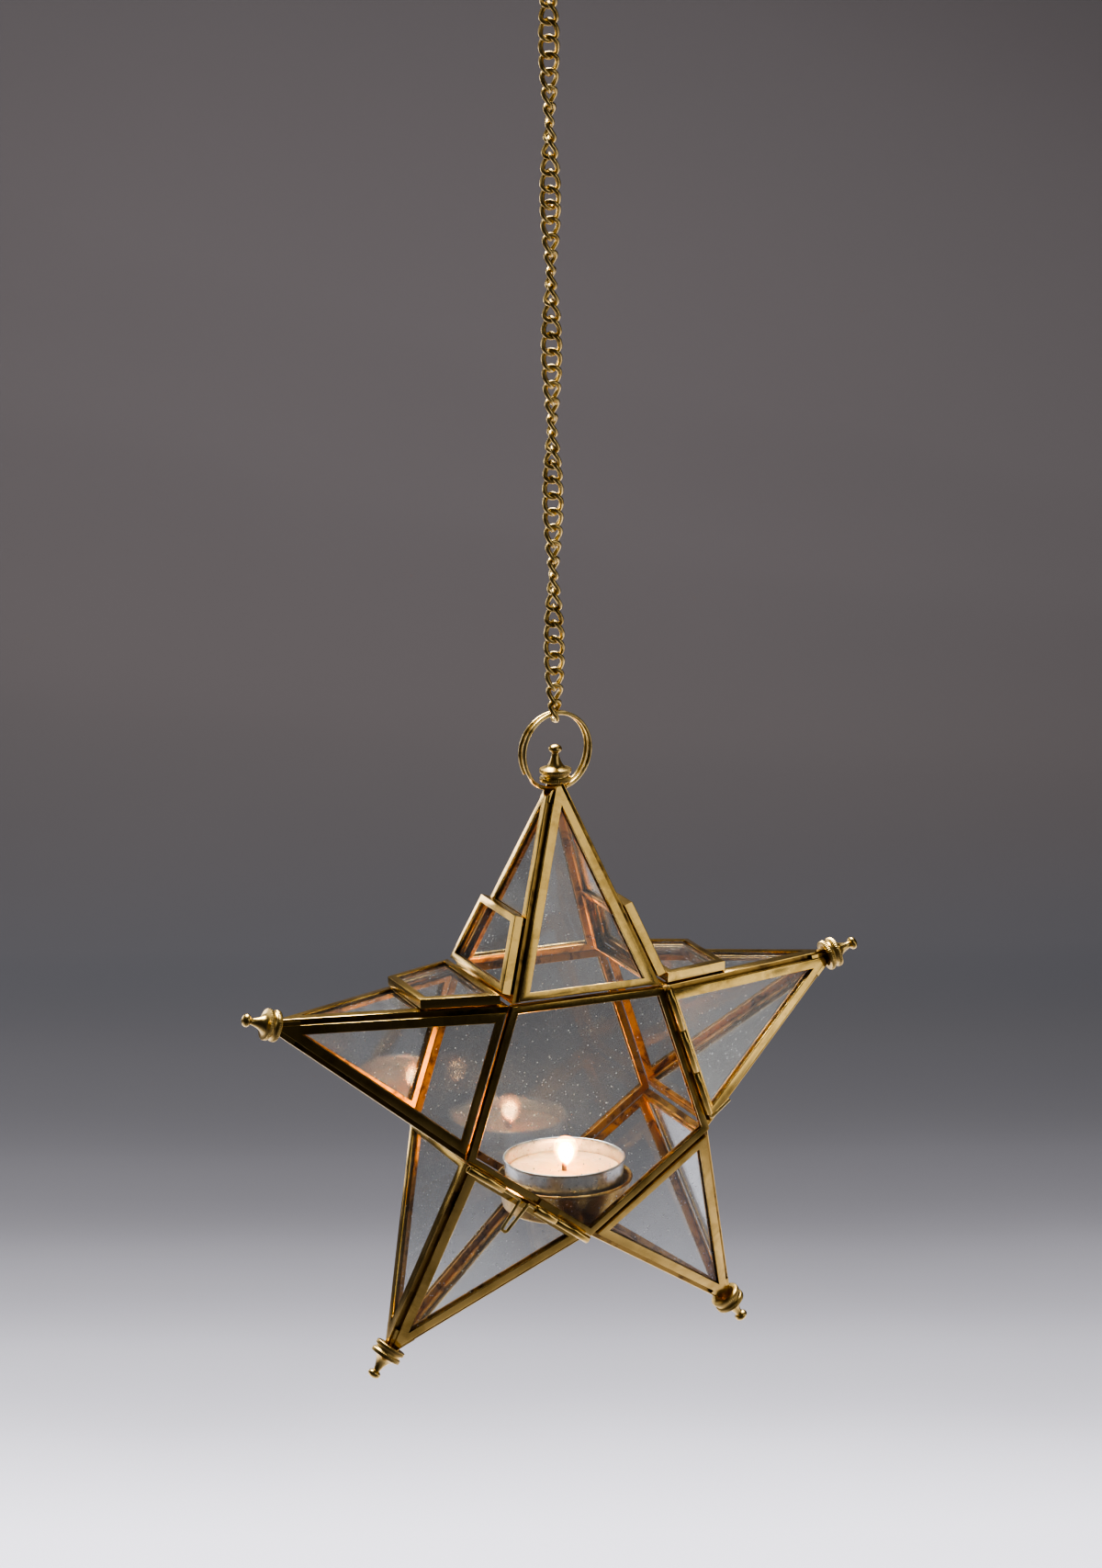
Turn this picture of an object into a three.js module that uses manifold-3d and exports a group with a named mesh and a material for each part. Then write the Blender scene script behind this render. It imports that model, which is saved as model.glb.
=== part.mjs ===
// Hanging star lantern of soldered brass came and glass. Five glazed pyramid arms stand on the sides
// of a pentagonal candle chamber. A hinged front door, a wire latch, raised vent lids, turned finials,
// a split ring, a curb chain and an S-hook complete it.
// Millimetres, +Z up, the door faces -Y, the origin is where the support bears inside the hook.
import * as THREE from "three";
import { mergeVertices } from "three/addons/utils/BufferGeometryUtils.js";
import Module from "manifold-3d";

const wasm = await Module();
wasm.setup();

// Fits
const CLEARANCE = 0.3; // between pieces that touch or are soldered together
const CUT_OVERRUN = 0.5; // how far a cutting solid runs past what it cuts

// Candle and its cup
const TEALIGHT_RADIUS = 19;
const TEALIGHT_HEIGHT = 15.2;
const TEALIGHT_TAPER = 0.9; // how much narrower the foil cup is at its foot
const FOIL = 0.4;
const FOIL_ROLL = 0.35; // how far the rolled rim stands out and down
const WAX_BELOW_RIM = 4.6;
const WICK_RADIUS = 0.8;
const WICK_ABOVE_WAX = 6;
const WICK_LEAN = 1.2;
const CUP_WALL = 0.8;
const CUP_PLAY = 0.9; // room round the tealight at the mouth of the cup
const CUP_LIP = 0.6; // how far the rolled lip of the cup stands out
const CUP_HEIGHT = 10.3;
const CUP_SHIFT = 1.5; // how far right of the middle the cup is soldered in
const CUP_FOOT_ROUND = 1.6;

// Came and glass of every panel
const CAME_THICKNESS = 3.2;
const CAME_WALL = 0.7; // back of the channel that holds the pane
const CAME_LIP = 2.3; // width of the strip that shows round a pane
const GLASS_THICKNESS = 1.5;
const SOLDER_BITE = 0.45; // how far two panels of an arm run into each other at their inner edges

// Star
const SIDE = 50; // side of the pentagonal chamber
const TIP_RADIUS = 103.1; // from the middle of the star to the point in which an arm's faces meet
const TIP_SOLID = 12.4; // length of the closed brass point of an arm
const TIP_SETBACK = 1; // how far the solid core of the point stays back from the came
const CHAMBER_ROOM = 0.5; // between the lip of the candle cup and the panels before and behind it
const LID_LENGTH = 25.4; // from the valley to the far edge of a vent lid, along the slope of the arm

// Finials
const FINIAL_REACH = 6.8; // how far a finial reaches down over the point of its arm
const FINIAL_TIP_CUT = 4; // length of bare point that is filed off under the finial
const FLANGE_WALL = 1.15;
const FLANGE_HEIGHT = 1.4;
const WAIST_HEIGHT = 1.2;
const WAIST_STEP = 0.55; // how far the waist lies inside the flanges
const NECK_RADIUS = 1.05;
const NECK_HEIGHT = 4.9; // bell shoulder and neck
const BALL_RADIUS = 2.05;
const BALL_HEIGHT = 2.8;

// Door hinge
const HINGE_PIN = 1; // wire diameter
const HINGE_TUBE = 2.2; // outer diameter
const CORNER_GAP = 0.6; // bare length of a chamber side at each corner
const HINGE_BARE = 5.4; // length at the lower corner that the tubes leave free
const PIN_HOOK = 8.2; // length of the bent end of the pin
const PIN_HOOK_ANGLE = 69; // degrees between the bent end and the pin

// Door latch
const LATCH_WIRE = 1;
const LATCH_GUIDE = 2.6; // outer diameter of the guide tube
const LATCH_GUIDE_LENGTH = 14;
const LATCH_KNUCKLE = 2.8; // outer diameter of the knuckle on the door
const LATCH_KNUCKLE_LENGTH = 8;
const LATCH_KEEPER = 2.5; // outer diameter of the end tube
const LATCH_TRAVEL = 6;
const LATCH_LEGS = 1.8; // between the two legs of the handle
const LATCH_LEAD = 4; // bare bolt between the handle and the knuckle
const LATCH_HANDLE = 10.8; // length of the handle
const LATCH_BEND = 0.8;
const LATCH_TAB = 0.5; // thickness of the tab that ties the knuckle to the door

// Split ring
const RING_OUTER = 25;
const RING_WIRE = 1.25;
const RING_TURN_GAP = 0.2; // between the two turns in the arm and in the chain
const RING_SPREAD = 0.9; // how much farther apart the turns are half way up the ring
const RING_REST = 0.5; // how far below the middle of the last link's bend the ring hangs
const RING_LENGTH = 645; // degrees of wire
const RING_CROSSING = 30; // degrees in which the wire steps from one turn to the other
const RING_START = 210; // degrees from +X at which the first turn begins
const RING_TURN = 10; // degrees by which the ring hangs turned, its left side to the front

// Chain
const LINK_WIRE = 1.3;
const LINK_BORE = 3.9; // inner width of a link
const LINK_PITCH = 4.9;
const LINK_TWIST = 90; // degrees from the top to the bottom of a link
const CHAIN_HALF_TURNS = 5; // by which the whole chain is wound about its length
const LINK_FUSE = 0.35; // how deep neighbouring links of one length bite into each other
const LINKS_IN_LENGTH = 16;
const CHAIN_LENGTHS = ["chain_upper", "chain_middle", "chain_lower"];

// S-hook
const HOOK_WIRE = 2;
const HOOK_CROOK = 7; // radius of the open crook, to the middle of the wire
const HOOK_EYE = 4; // radius of the closed eye, to the middle of the wire
const HOOK_CROOK_TURN = 250; // degrees
const HOOK_EYE_TURN = 315; // degrees

// Facets of round pieces, and steps along bent wires
const TURNED_FACETS = 12;
const CUP_FACETS = 28;
const HOLE_FACETS = 16;
const THIN_WIRE_FACETS = 6;
const WIRE_FACETS = 8;
const LINK_FACETS = 5;
const LINK_STEPS = 12;
const RING_STEPS = 46;
const PIN_STEPS = 60;
const BOLT_STEPS = 64;
const WICK_STEPS = 12;
const HOOK_STEPS = 48;

// Worked out from the driving dimensions
const RAD = Math.PI / 180;
const ARMS = ["top", "right", "lower_right", "lower_left", "left"]; // clockwise, seen from the front
const ARM_TURN = 360 / ARMS.length;
const APOTHEM = SIDE / 2 / Math.tan((ARM_TURN / 2) * RAD);
const CORNER_RADIUS = SIDE / 2 / Math.sin((ARM_TURN / 2) * RAD);
const CUP_RIM_RADIUS = TEALIGHT_RADIUS + CUP_PLAY + CUP_WALL;
const DEPTH = 2 * (CUP_RIM_RADIUS + CUP_LIP + CHAMBER_ROOM + CAME_THICKNESS);
const ARM_HEIGHT = TIP_RADIUS - APOTHEM;
const PANE_LOW = -(CAME_THICKNESS + GLASS_THICKNESS) / 2;
const PANE_HIGH = PANE_LOW + GLASS_THICKNESS;
const FRONT = -DEPTH / 2;
const EDGE_INSET = CAME_THICKNESS / Math.tan(edgeAngle() / 2) - SOLDER_BITE; // panel to ideal edge of an arm
const CORE_TIP = TIP_RADIUS - TIP_SETBACK;
const FINIAL_BASE = TIP_RADIUS - FINIAL_REACH;
const FINIAL_BORE_TOP = TIP_RADIUS - FINIAL_TIP_CUT + CLEARANCE;
const FLANGE_RADIUS = pyramidDiagonal(TIP_RADIUS - FINIAL_BASE) + CLEARANCE + FLANGE_WALL;
const RING_RADIUS = (RING_OUTER - RING_WIRE) / 2;
const RING_HALF_WIDTH = RING_WIRE + RING_TURN_GAP / 2;
const RING_INNER = RING_RADIUS - RING_WIRE / 2;
const RING_DROP = RING_RADIUS - Math.sqrt(RING_INNER ** 2 - FLANGE_RADIUS ** 2) + 2 * CLEARANCE;
const RING_HOLE_RADIUS = FINIAL_BASE - RING_DROP; // from the middle of the star to the ring's hole
const LINK_BEND = (LINK_BORE + LINK_WIRE) / 2;
const LINK_HEIGHT = LINK_PITCH + LINK_WIRE - LINK_FUSE; // between the middles of the wire
const LINK_COUNT = LINKS_IN_LENGTH * CHAIN_LENGTHS.length;
const LINK_TURN = (180 * CHAIN_HALF_TURNS + RING_TURN) / (LINK_COUNT - 1); // degrees from link to link

// Heights, from the origin down
const CROOK_CENTRE = HOOK_WIRE / 2 - HOOK_CROOK;
const EYE_CENTRE = CROOK_CENTRE - HOOK_CROOK - HOOK_EYE;
const FIRST_LINK_TOP = EYE_CENTRE - HOOK_EYE + (HOOK_WIRE + LINK_WIRE) / 2 + CLEARANCE;
const LENGTH_DROP = LINKS_IN_LENGTH * LINK_PITCH - LINK_FUSE - CLEARANCE;
const LAST_LENGTH_TOP = FIRST_LINK_TOP - (CHAIN_LENGTHS.length - 1) * LENGTH_DROP;
const LAST_LINK_BOTTOM = LAST_LENGTH_TOP - (LINKS_IN_LENGTH - 1) * LINK_PITCH - LINK_HEIGHT;
const RING_CENTRE = LAST_LINK_BOTTOM + LINK_BEND - RING_REST - RING_RADIUS;
const STAR_CENTRE = RING_CENTRE - RING_RADIUS - RING_HOLE_RADIUS;

// Materials
function metal(color, roughness) {
  return new THREE.MeshStandardMaterial({ color, roughness, metalness: 1 });
}
const brass = metal(0xb08a45, 0.32);
const brightBrass = metal(0xc9a55c, 0.25);
const aluminium = metal(0xc4c6c8, 0.35);
const glass = new THREE.MeshStandardMaterial({ color: 0xaab0b2, roughness: 0.08, metalness: 0 });
const waxWhite = new THREE.MeshStandardMaterial({ color: 0xf3e6d3, roughness: 0.6, metalness: 0 });
const wickBrown = new THREE.MeshStandardMaterial({ color: 0x4a2f22, roughness: 0.9, metalness: 0 });

// Solid modelling helpers
function solid(geometry) {
  const bare = new THREE.BufferGeometry();
  bare.setAttribute("position", geometry.getAttribute("position"));
  if (geometry.index) bare.setIndex(geometry.index);
  const merged = mergeVertices(bare, 1e-4);
  return new wasm.Manifold(
    new wasm.Mesh({
      numProp: 3,
      vertProperties: new Float32Array(merged.getAttribute("position").array),
      triVerts: new Uint32Array(merged.index.array),
    }),
  );
}

function shapeOf(manifold) {
  const mesh = manifold.getMesh();
  const geometry = new THREE.BufferGeometry();
  geometry.setAttribute("position", new THREE.BufferAttribute(mesh.vertProperties, 3));
  geometry.setIndex(new THREE.BufferAttribute(mesh.triVerts, 1));
  geometry.computeVertexNormals();
  return geometry;
}

function named(name, geometry, material) {
  const mesh = new THREE.Mesh(geometry, material);
  mesh.name = name;
  return mesh;
}

// A flat plate over an outline, between two heights above the outline's plane.
function plate(outline, low, high) {
  const geometry = new THREE.ExtrudeGeometry(new THREE.Shape(outline), {
    depth: high - low,
    bevelEnabled: false,
  });
  return geometry.translate(0, 0, low);
}

// A turned piece about +Z from a profile of [radius, height] points, run from the foot upwards outside.
function turned(profile, segments) {
  const points = profile.map(([radius, height]) => new THREE.Vector2(radius, height));
  return new THREE.LatheGeometry(points, segments).rotateX(Math.PI / 2);
}

// A straight tube along +X.
function tubeAlongX(outer, inner, length) {
  const profile = [
    [inner, 0],
    [outer, 0],
    [outer, length],
    [inner, length],
    [inner, 0],
  ];
  return turned(profile, TURNED_FACETS).rotateY(Math.PI / 2);
}

// A round wire along an open curve.
function wireAlong(curve, diameter, steps, sides) {
  const section = new THREE.Shape();
  for (let i = 0; i < sides; i++) {
    const angle = (2 * Math.PI * i) / sides;
    const x = (diameter / 2) * Math.cos(angle);
    const y = (diameter / 2) * Math.sin(angle);
    if (i) section.lineTo(x, y);
    else section.moveTo(x, y);
  }
  return new THREE.ExtrudeGeometry(section, { steps, bevelEnabled: false, extrudePath: curve });
}

// A path of straight runs with rounded corners.
function bentPath(points, radius) {
  const path = new THREE.CurvePath();
  let start = points[0];
  for (let i = 1; i < points.length - 1; i++) {
    const corner = points[i];
    const before = corner.clone().add(start.clone().sub(corner).setLength(radius));
    const after = corner.clone().add(points[i + 1].clone().sub(corner).setLength(radius));
    path.add(new THREE.LineCurve3(start, before));
    path.add(new THREE.QuadraticBezierCurve3(before, corner, after));
    start = after;
  }
  path.add(new THREE.LineCurve3(start, points[points.length - 1]));
  return path;
}

// Moves each edge of a convex anticlockwise outline inwards by its own distance.
function inset(outline, distances) {
  const lines = outline.map((point, i) => {
    const next = outline[(i + 1) % outline.length];
    const along = next.clone().sub(point).normalize();
    const inwards = new THREE.Vector2(-along.y, along.x);
    return { along, point: point.clone().addScaledVector(inwards, distances[i]) };
  });
  return lines.map((line, i) => {
    const last = lines[(i + lines.length - 1) % lines.length];
    const apart = line.point.clone().sub(last.point);
    const run = apart.cross(line.along) / last.along.cross(line.along);
    return last.point.clone().addScaledVector(last.along, run);
  });
}

function shrink(outline, distance) {
  return inset(
    outline,
    outline.map(() => distance),
  );
}

// The part of an outline below a height.
function below(outline, height) {
  const kept = [];
  outline.forEach((point, i) => {
    const next = outline[(i + 1) % outline.length];
    if (point.y <= height) kept.push(point);
    if (point.y > height !== next.y > height) {
      kept.push(point.clone().lerp(next, (height - point.y) / (next.y - point.y)));
    }
  });
  return kept;
}

// The inner angle between two neighbouring faces of an arm.
function edgeAngle() {
  const frontSlope = Math.hypot(ARM_HEIGHT, DEPTH / 2);
  const sideSlope = Math.hypot(ARM_HEIGHT, SIDE / 2);
  return Math.PI - Math.acos(((DEPTH / 2) * (SIDE / 2)) / (frontSlope * sideSlope));
}

// Half the diagonal of an arm's section at a depth below its point.
function pyramidDiagonal(depth) {
  return (depth / ARM_HEIGHT) * Math.hypot(SIDE / 2, DEPTH / 2);
}

// The pane of a came panel and what is cut out of the came for it. The pane stops at the top height.
function glazing(outline, top) {
  const pane = below(shrink(outline, CAME_WALL + CLEARANCE), top - CLEARANCE);
  const groove = below(shrink(outline, CAME_WALL), top);
  const opening = shrink(outline, CAME_LIP);
  return {
    pane: plate(pane, PANE_LOW, PANE_HIGH),
    groove: plate(groove, PANE_LOW - CLEARANCE, PANE_HIGH + CLEARANCE),
    opening: plate(opening, -CAME_THICKNESS - CUT_OVERRUN, CUT_OVERRUN),
  };
}

// The four faces of an arm, in the arm's own frame: +Z outwards along the arm, +Y to the back.
// side 0 is the front, 1 faces the next arm clockwise, 2 is the back, 3 faces the arm before.
function faceOf(side) {
  const frontOrBack = side % 2 === 0;
  const offset = (frontOrBack ? DEPTH : SIDE) / 2;
  const halfBase = (frontOrBack ? SIDE : DEPTH) / 2;
  const slope = Math.hypot(ARM_HEIGHT, offset);
  const across = new THREE.Vector3(1, 0, 0);
  const up = new THREE.Vector3(0, offset / slope, ARM_HEIGHT / slope);
  const out = across.clone().cross(up);
  const place = new THREE.Matrix4().makeBasis(across, up, out).setPosition(0, -offset, APOTHEM);
  place.premultiply(new THREE.Matrix4().makeRotationZ((side * Math.PI) / 2));
  const foot = ((CLEARANCE / 2) * slope + CAME_THICKNESS * offset) / ARM_HEIGHT;
  return { place, slope, offset, foot, halfWidth: (height) => halfBase * (1 - height / slope) };
}

// The part of a face from a height up its slope to the point.
function pointed(face, low) {
  return [
    new THREE.Vector2(-face.halfWidth(low), low),
    new THREE.Vector2(face.halfWidth(low), low),
    new THREE.Vector2(0, face.slope),
  ];
}

// The part of a face between two heights up its slope.
function band(face, low, high) {
  return [
    new THREE.Vector2(-face.halfWidth(low), low),
    new THREE.Vector2(face.halfWidth(low), low),
    new THREE.Vector2(face.halfWidth(high), high),
    new THREE.Vector2(-face.halfWidth(high), high),
  ];
}

// A vent lid covers this side of an arm if the side looks across an upper valley.
function isVented(arm, side) {
  const name = ARMS[arm];
  const facing = ARMS[(arm + (side === 1 ? 1 : ARMS.length - 1)) % ARMS.length];
  return side % 2 === 1 && (name === "top" || facing === "top");
}

function paneName(arm, side) {
  if (side === 0) return ARMS[arm] + "_arm_front_pane";
  if (side === 2) return ARMS[arm] + "_arm_back_pane";
  const facing = ARMS[(arm + (side === 1 ? 1 : ARMS.length - 1)) % ARMS.length];
  return ARMS[arm] + "_arm_pane_by_" + facing;
}

// One arm: a cage of four soldered came panels with square edges, their panes, and its vent lids.
function armGroup(arm) {
  const group = new THREE.Group();
  group.rotation.y = arm * ARM_TURN * RAD;
  let cage = null;
  const cuts = [];
  for (let side = 0; side < 4; side++) {
    const face = faceOf(side);
    const foot = side % 2 === 0 ? face.foot : 0;
    const outline = inset(pointed(face, 0), [foot, EDGE_INSET, EDGE_INSET]);
    const panel = solid(plate(outline, -CAME_THICKNESS, 0).applyMatrix4(face.place));
    cage = cage ? cage.add(panel) : panel;

    const bar = isVented(arm, side) ? LID_LENGTH - CAME_LIP : 0;
    const glazed = inset(pointed(face, bar), [bar ? 0 : face.foot, EDGE_INSET, EDGE_INSET]);
    const closed = face.slope * (1 - TIP_SOLID / ARM_HEIGHT);
    const { pane, groove, opening } = glazing(glazed, closed);
    cuts.push(groove.applyMatrix4(face.place), opening.applyMatrix4(face.place));
    const paneMesh = named(paneName(arm, side), pane, glass);
    paneMesh.applyMatrix4(face.place);
    group.add(paneMesh);

    if (bar) {
      const rim = EDGE_INSET + CAME_LIP;
      const vent = inset(band(face, 0, bar), [face.foot + CAME_LIP, rim, 0, rim]);
      cuts.push(plate(vent, -CAME_THICKNESS - CUT_OVERRUN, CUT_OVERRUN).applyMatrix4(face.place));
      group.add(...ventLid(arm, side, face));
    }
  }
  const trimFoot = APOTHEM + CLEARANCE / 2;
  const trimTop = FINIAL_BASE - CLEARANCE;
  const trim = new THREE.BoxGeometry(2 * SIDE, 2 * DEPTH, trimTop - trimFoot);
  trim.translate(0, 0, (trimFoot + trimTop) / 2);
  cage = cage.intersect(solid(trim));
  if (ARMS[arm] === "top") {
    const { hole, notch } = ringCuts();
    cage = cage.subtract(solid(notch));
    cuts.push(hole);
  }
  cage = cage.add(solid(pointCore()));
  for (const cut of cuts) cage = cage.subtract(solid(cut));
  group.add(named(ARMS[arm] + "_arm_frame", shapeOf(cage), brass));
  group.add(finial(ARMS[arm]));
  return group;
}

// The solid core of an arm's point, on which the finial sits.
function pointCore() {
  const foot = TIP_RADIUS - TIP_SOLID;
  const top = FINIAL_BORE_TOP - CLEARANCE;
  const halfTop = ((CORE_TIP - top) / ARM_HEIGHT) * (SIDE / 2);
  const halfFoot = ((CORE_TIP - foot) / ARM_HEIGHT) * (SIDE / 2);
  const core = new THREE.CylinderGeometry(halfTop * Math.SQRT2, halfFoot * Math.SQRT2, top - foot, 4);
  core.rotateY(Math.PI / 4).rotateX(Math.PI / 2);
  return core.scale(1, DEPTH / SIDE, 1).translate(0, 0, (foot + top) / 2);
}

// The cross hole for the split ring, wide enough for the ring to swing in it, and the notch above it, up to
// the finial, in which the side panels end.
function ringCuts() {
  const halfLength = (SIDE / 2) * ((TIP_RADIUS - RING_HOLE_RADIUS) / ARM_HEIGHT) + CUT_OVERRUN;
  const rise = RING_RADIUS - Math.sqrt(RING_RADIUS ** 2 - halfLength ** 2);
  const radius = Math.hypot(RING_HALF_WIDTH, RING_WIRE / 2) + (rise + CLEARANCE) / 2;
  const length = 2 * halfLength + RING_WIRE;
  const middle = RING_HOLE_RADIUS + rise / 2;
  const height = FINIAL_BASE - middle;
  const hole = new THREE.CylinderGeometry(radius, radius, length, HOLE_FACETS).rotateZ(Math.PI / 2);
  const notch = new THREE.BoxGeometry(length, 2 * radius, height).translate(0, 0, height / 2);
  for (const cut of [hole, notch]) cut.rotateZ(RING_TURN * RAD).translate(0, 0, middle);
  return { hole, notch };
}

// A raised vent lid: a came panel of its own that stands on the came of the arm.
function ventLid(arm, side, face) {
  const cornerAngle = 90 + ARM_TURN / 2;
  const halfValley = cornerAngle * RAD - Math.atan2(ARM_HEIGHT, SIDE / 2);
  const start = (CAME_THICKNESS + CLEARANCE) / Math.tan(halfValley) + CLEARANCE;
  const outline = inset(band(face, start, LID_LENGTH), [0, EDGE_INSET, 0, EDGE_INSET]);
  const lift = new THREE.Matrix4().makeTranslation(0, 0, CAME_THICKNESS + CLEARANCE);
  const { pane, groove, opening } = glazing(outline, Infinity);
  const frame = solid(plate(outline, -CAME_THICKNESS, 0)).subtract(solid(opening)).subtract(solid(groove));
  const facing = ARMS[(arm + (side === 1 ? 1 : ARMS.length - 1)) % ARMS.length];
  const name = ARMS[arm] + "_arm_vent_by_" + facing;
  const meshes = [named(name + "_frame", shapeOf(frame), brass), named(name + "_pane", pane, glass)];
  for (const mesh of meshes) mesh.applyMatrix4(face.place.clone().multiply(lift));
  return meshes;
}

// A turned finial: two milled flanges, a bell shoulder, a slim neck and a ball.
function finial(name) {
  const boreFoot = pyramidDiagonal(CORE_TIP - FINIAL_BASE) + CLEARANCE;
  const boreTop = pyramidDiagonal(CORE_TIP - FINIAL_BORE_TOP) + CLEARANCE;
  const bore = FINIAL_BORE_TOP - FINIAL_BASE;
  const waist = FLANGE_RADIUS - WAIST_STEP;
  const waistFoot = FLANGE_HEIGHT;
  const upperFlange = waistFoot + WAIST_HEIGHT;
  const shoulder = upperFlange + FLANGE_HEIGHT;
  const neckTop = shoulder + NECK_HEIGHT;
  const halfBall = BALL_HEIGHT / 2;
  const ballCentre = neckTop + halfBall * Math.sqrt(1 - (NECK_RADIUS / BALL_RADIUS) ** 2);
  const spread = FLANGE_RADIUS - NECK_RADIUS;
  const profile = [
    [0, bore],
    [boreTop, bore],
    [boreFoot, 0],
    [FLANGE_RADIUS, 0],
    [FLANGE_RADIUS, FLANGE_HEIGHT],
    [waist, waistFoot],
    [waist, upperFlange],
    [FLANGE_RADIUS, upperFlange],
    [FLANGE_RADIUS, shoulder],
    [NECK_RADIUS + 0.6 * spread, shoulder + 0.08 * NECK_HEIGHT],
    [NECK_RADIUS + 0.32 * spread, shoulder + 0.25 * NECK_HEIGHT],
    [NECK_RADIUS + 0.12 * spread, shoulder + 0.5 * NECK_HEIGHT],
    [NECK_RADIUS, neckTop],
    [BALL_RADIUS, ballCentre],
    [0.7 * BALL_RADIUS, ballCentre + 0.7 * halfBall],
    [0, ballCentre + halfBall],
  ];
  const mesh = named(name + "_finial", turned(profile, TURNED_FACETS), brightBrass);
  mesh.position.z = FINIAL_BASE;
  return mesh;
}

// The corners of a pentagonal panel whose sides lie this far from the middle of the star.
function pentagon(apothem) {
  const radius = apothem / Math.cos((ARM_TURN / 2) * RAD);
  return ARMS.map((_, i) => {
    const angle = (ARM_TURN * i - 90) * RAD;
    return new THREE.Vector2(radius * Math.cos(angle), radius * Math.sin(angle));
  });
}

// The door and the back: pentagonal came panels that face outwards along +Z of their own frame.
function chamberPanel(name) {
  const outline = pentagon(APOTHEM - CLEARANCE / 2);
  const { pane, groove, opening } = glazing(outline, Infinity);
  const frame = solid(plate(outline, -CAME_THICKNESS, 0)).subtract(solid(opening)).subtract(solid(groove));
  const group = new THREE.Group();
  group.add(named(name + "_frame", shapeOf(frame), brass), named(name + "_pane", pane, glass));
  return group;
}

function door() {
  const group = chamberPanel("door");
  group.rotation.x = Math.PI / 2;
  group.position.y = FRONT;
  return group;
}

function back() {
  const panel = chamberPanel("back");
  panel.rotation.x = Math.PI / 2;
  panel.position.y = FRONT;
  const group = new THREE.Group();
  group.rotation.z = Math.PI;
  group.add(panel);
  return group;
}

// Where a tube lies in the groove between the door and an arm, a clearance away from both their edges:
// x is the depth and y the distance from the middle of the star.
function grooveSeat(diameter) {
  const face = faceOf(0);
  const doorEdge = new THREE.Vector2(FRONT, APOTHEM - CLEARANCE / 2);
  const rise = face.foot / face.slope;
  const armEdge = new THREE.Vector2(FRONT + rise * face.offset, APOTHEM + rise * ARM_HEIGHT);
  const across = armEdge.clone().sub(doorEdge);
  const out = new THREE.Vector2(-across.y, across.x).normalize();
  const reach = diameter / 2 + CLEARANCE;
  const height = Math.sqrt(Math.max(0, reach ** 2 - across.lengthSq() / 4));
  return doorEdge.lerp(armEdge, 0.5).addScaledVector(out, height);
}

// The hinge lies along the seam between the door and the right arm. Its run starts at the upper corner.
function hinge() {
  const group = new THREE.Group();
  group.rotation.y = ARMS.indexOf("right") * ARM_TURN * RAD;
  const axis = new THREE.Group();
  const seat = grooveSeat(HINGE_TUBE);
  axis.position.set(-SIDE / 2, seat.x, seat.y);
  group.add(axis);

  const names = ["hinge_tube_upper", "hinge_tube_door", "hinge_tube_lower"];
  const tubesEnd = SIDE - HINGE_BARE;
  const length = (tubesEnd - CORNER_GAP - (names.length - 1) * CLEARANCE) / names.length;
  const bore = HINGE_PIN / 2 + CLEARANCE;
  names.forEach((name, i) => {
    const tube = named(name, tubeAlongX(HINGE_TUBE / 2, bore, length), brass);
    tube.position.x = CORNER_GAP + i * (length + CLEARANCE);
    axis.add(tube);
  });

  const foot = tubesEnd + 1.5 * HINGE_PIN;
  const hookAngle = PIN_HOOK_ANGLE * RAD;
  const hookEnd = new THREE.Vector3(
    foot - PIN_HOOK * Math.cos(hookAngle),
    0,
    PIN_HOOK * Math.sin(hookAngle),
  );
  const run = [new THREE.Vector3(-HINGE_PIN / 2, 0, 0), new THREE.Vector3(foot, 0, 0), hookEnd];
  const pin = wireAlong(bentPath(run, HINGE_PIN), HINGE_PIN, PIN_STEPS, THIN_WIRE_FACETS);
  axis.add(named("hinge_pin", pin, brightBrass));
  return group;
}

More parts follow.
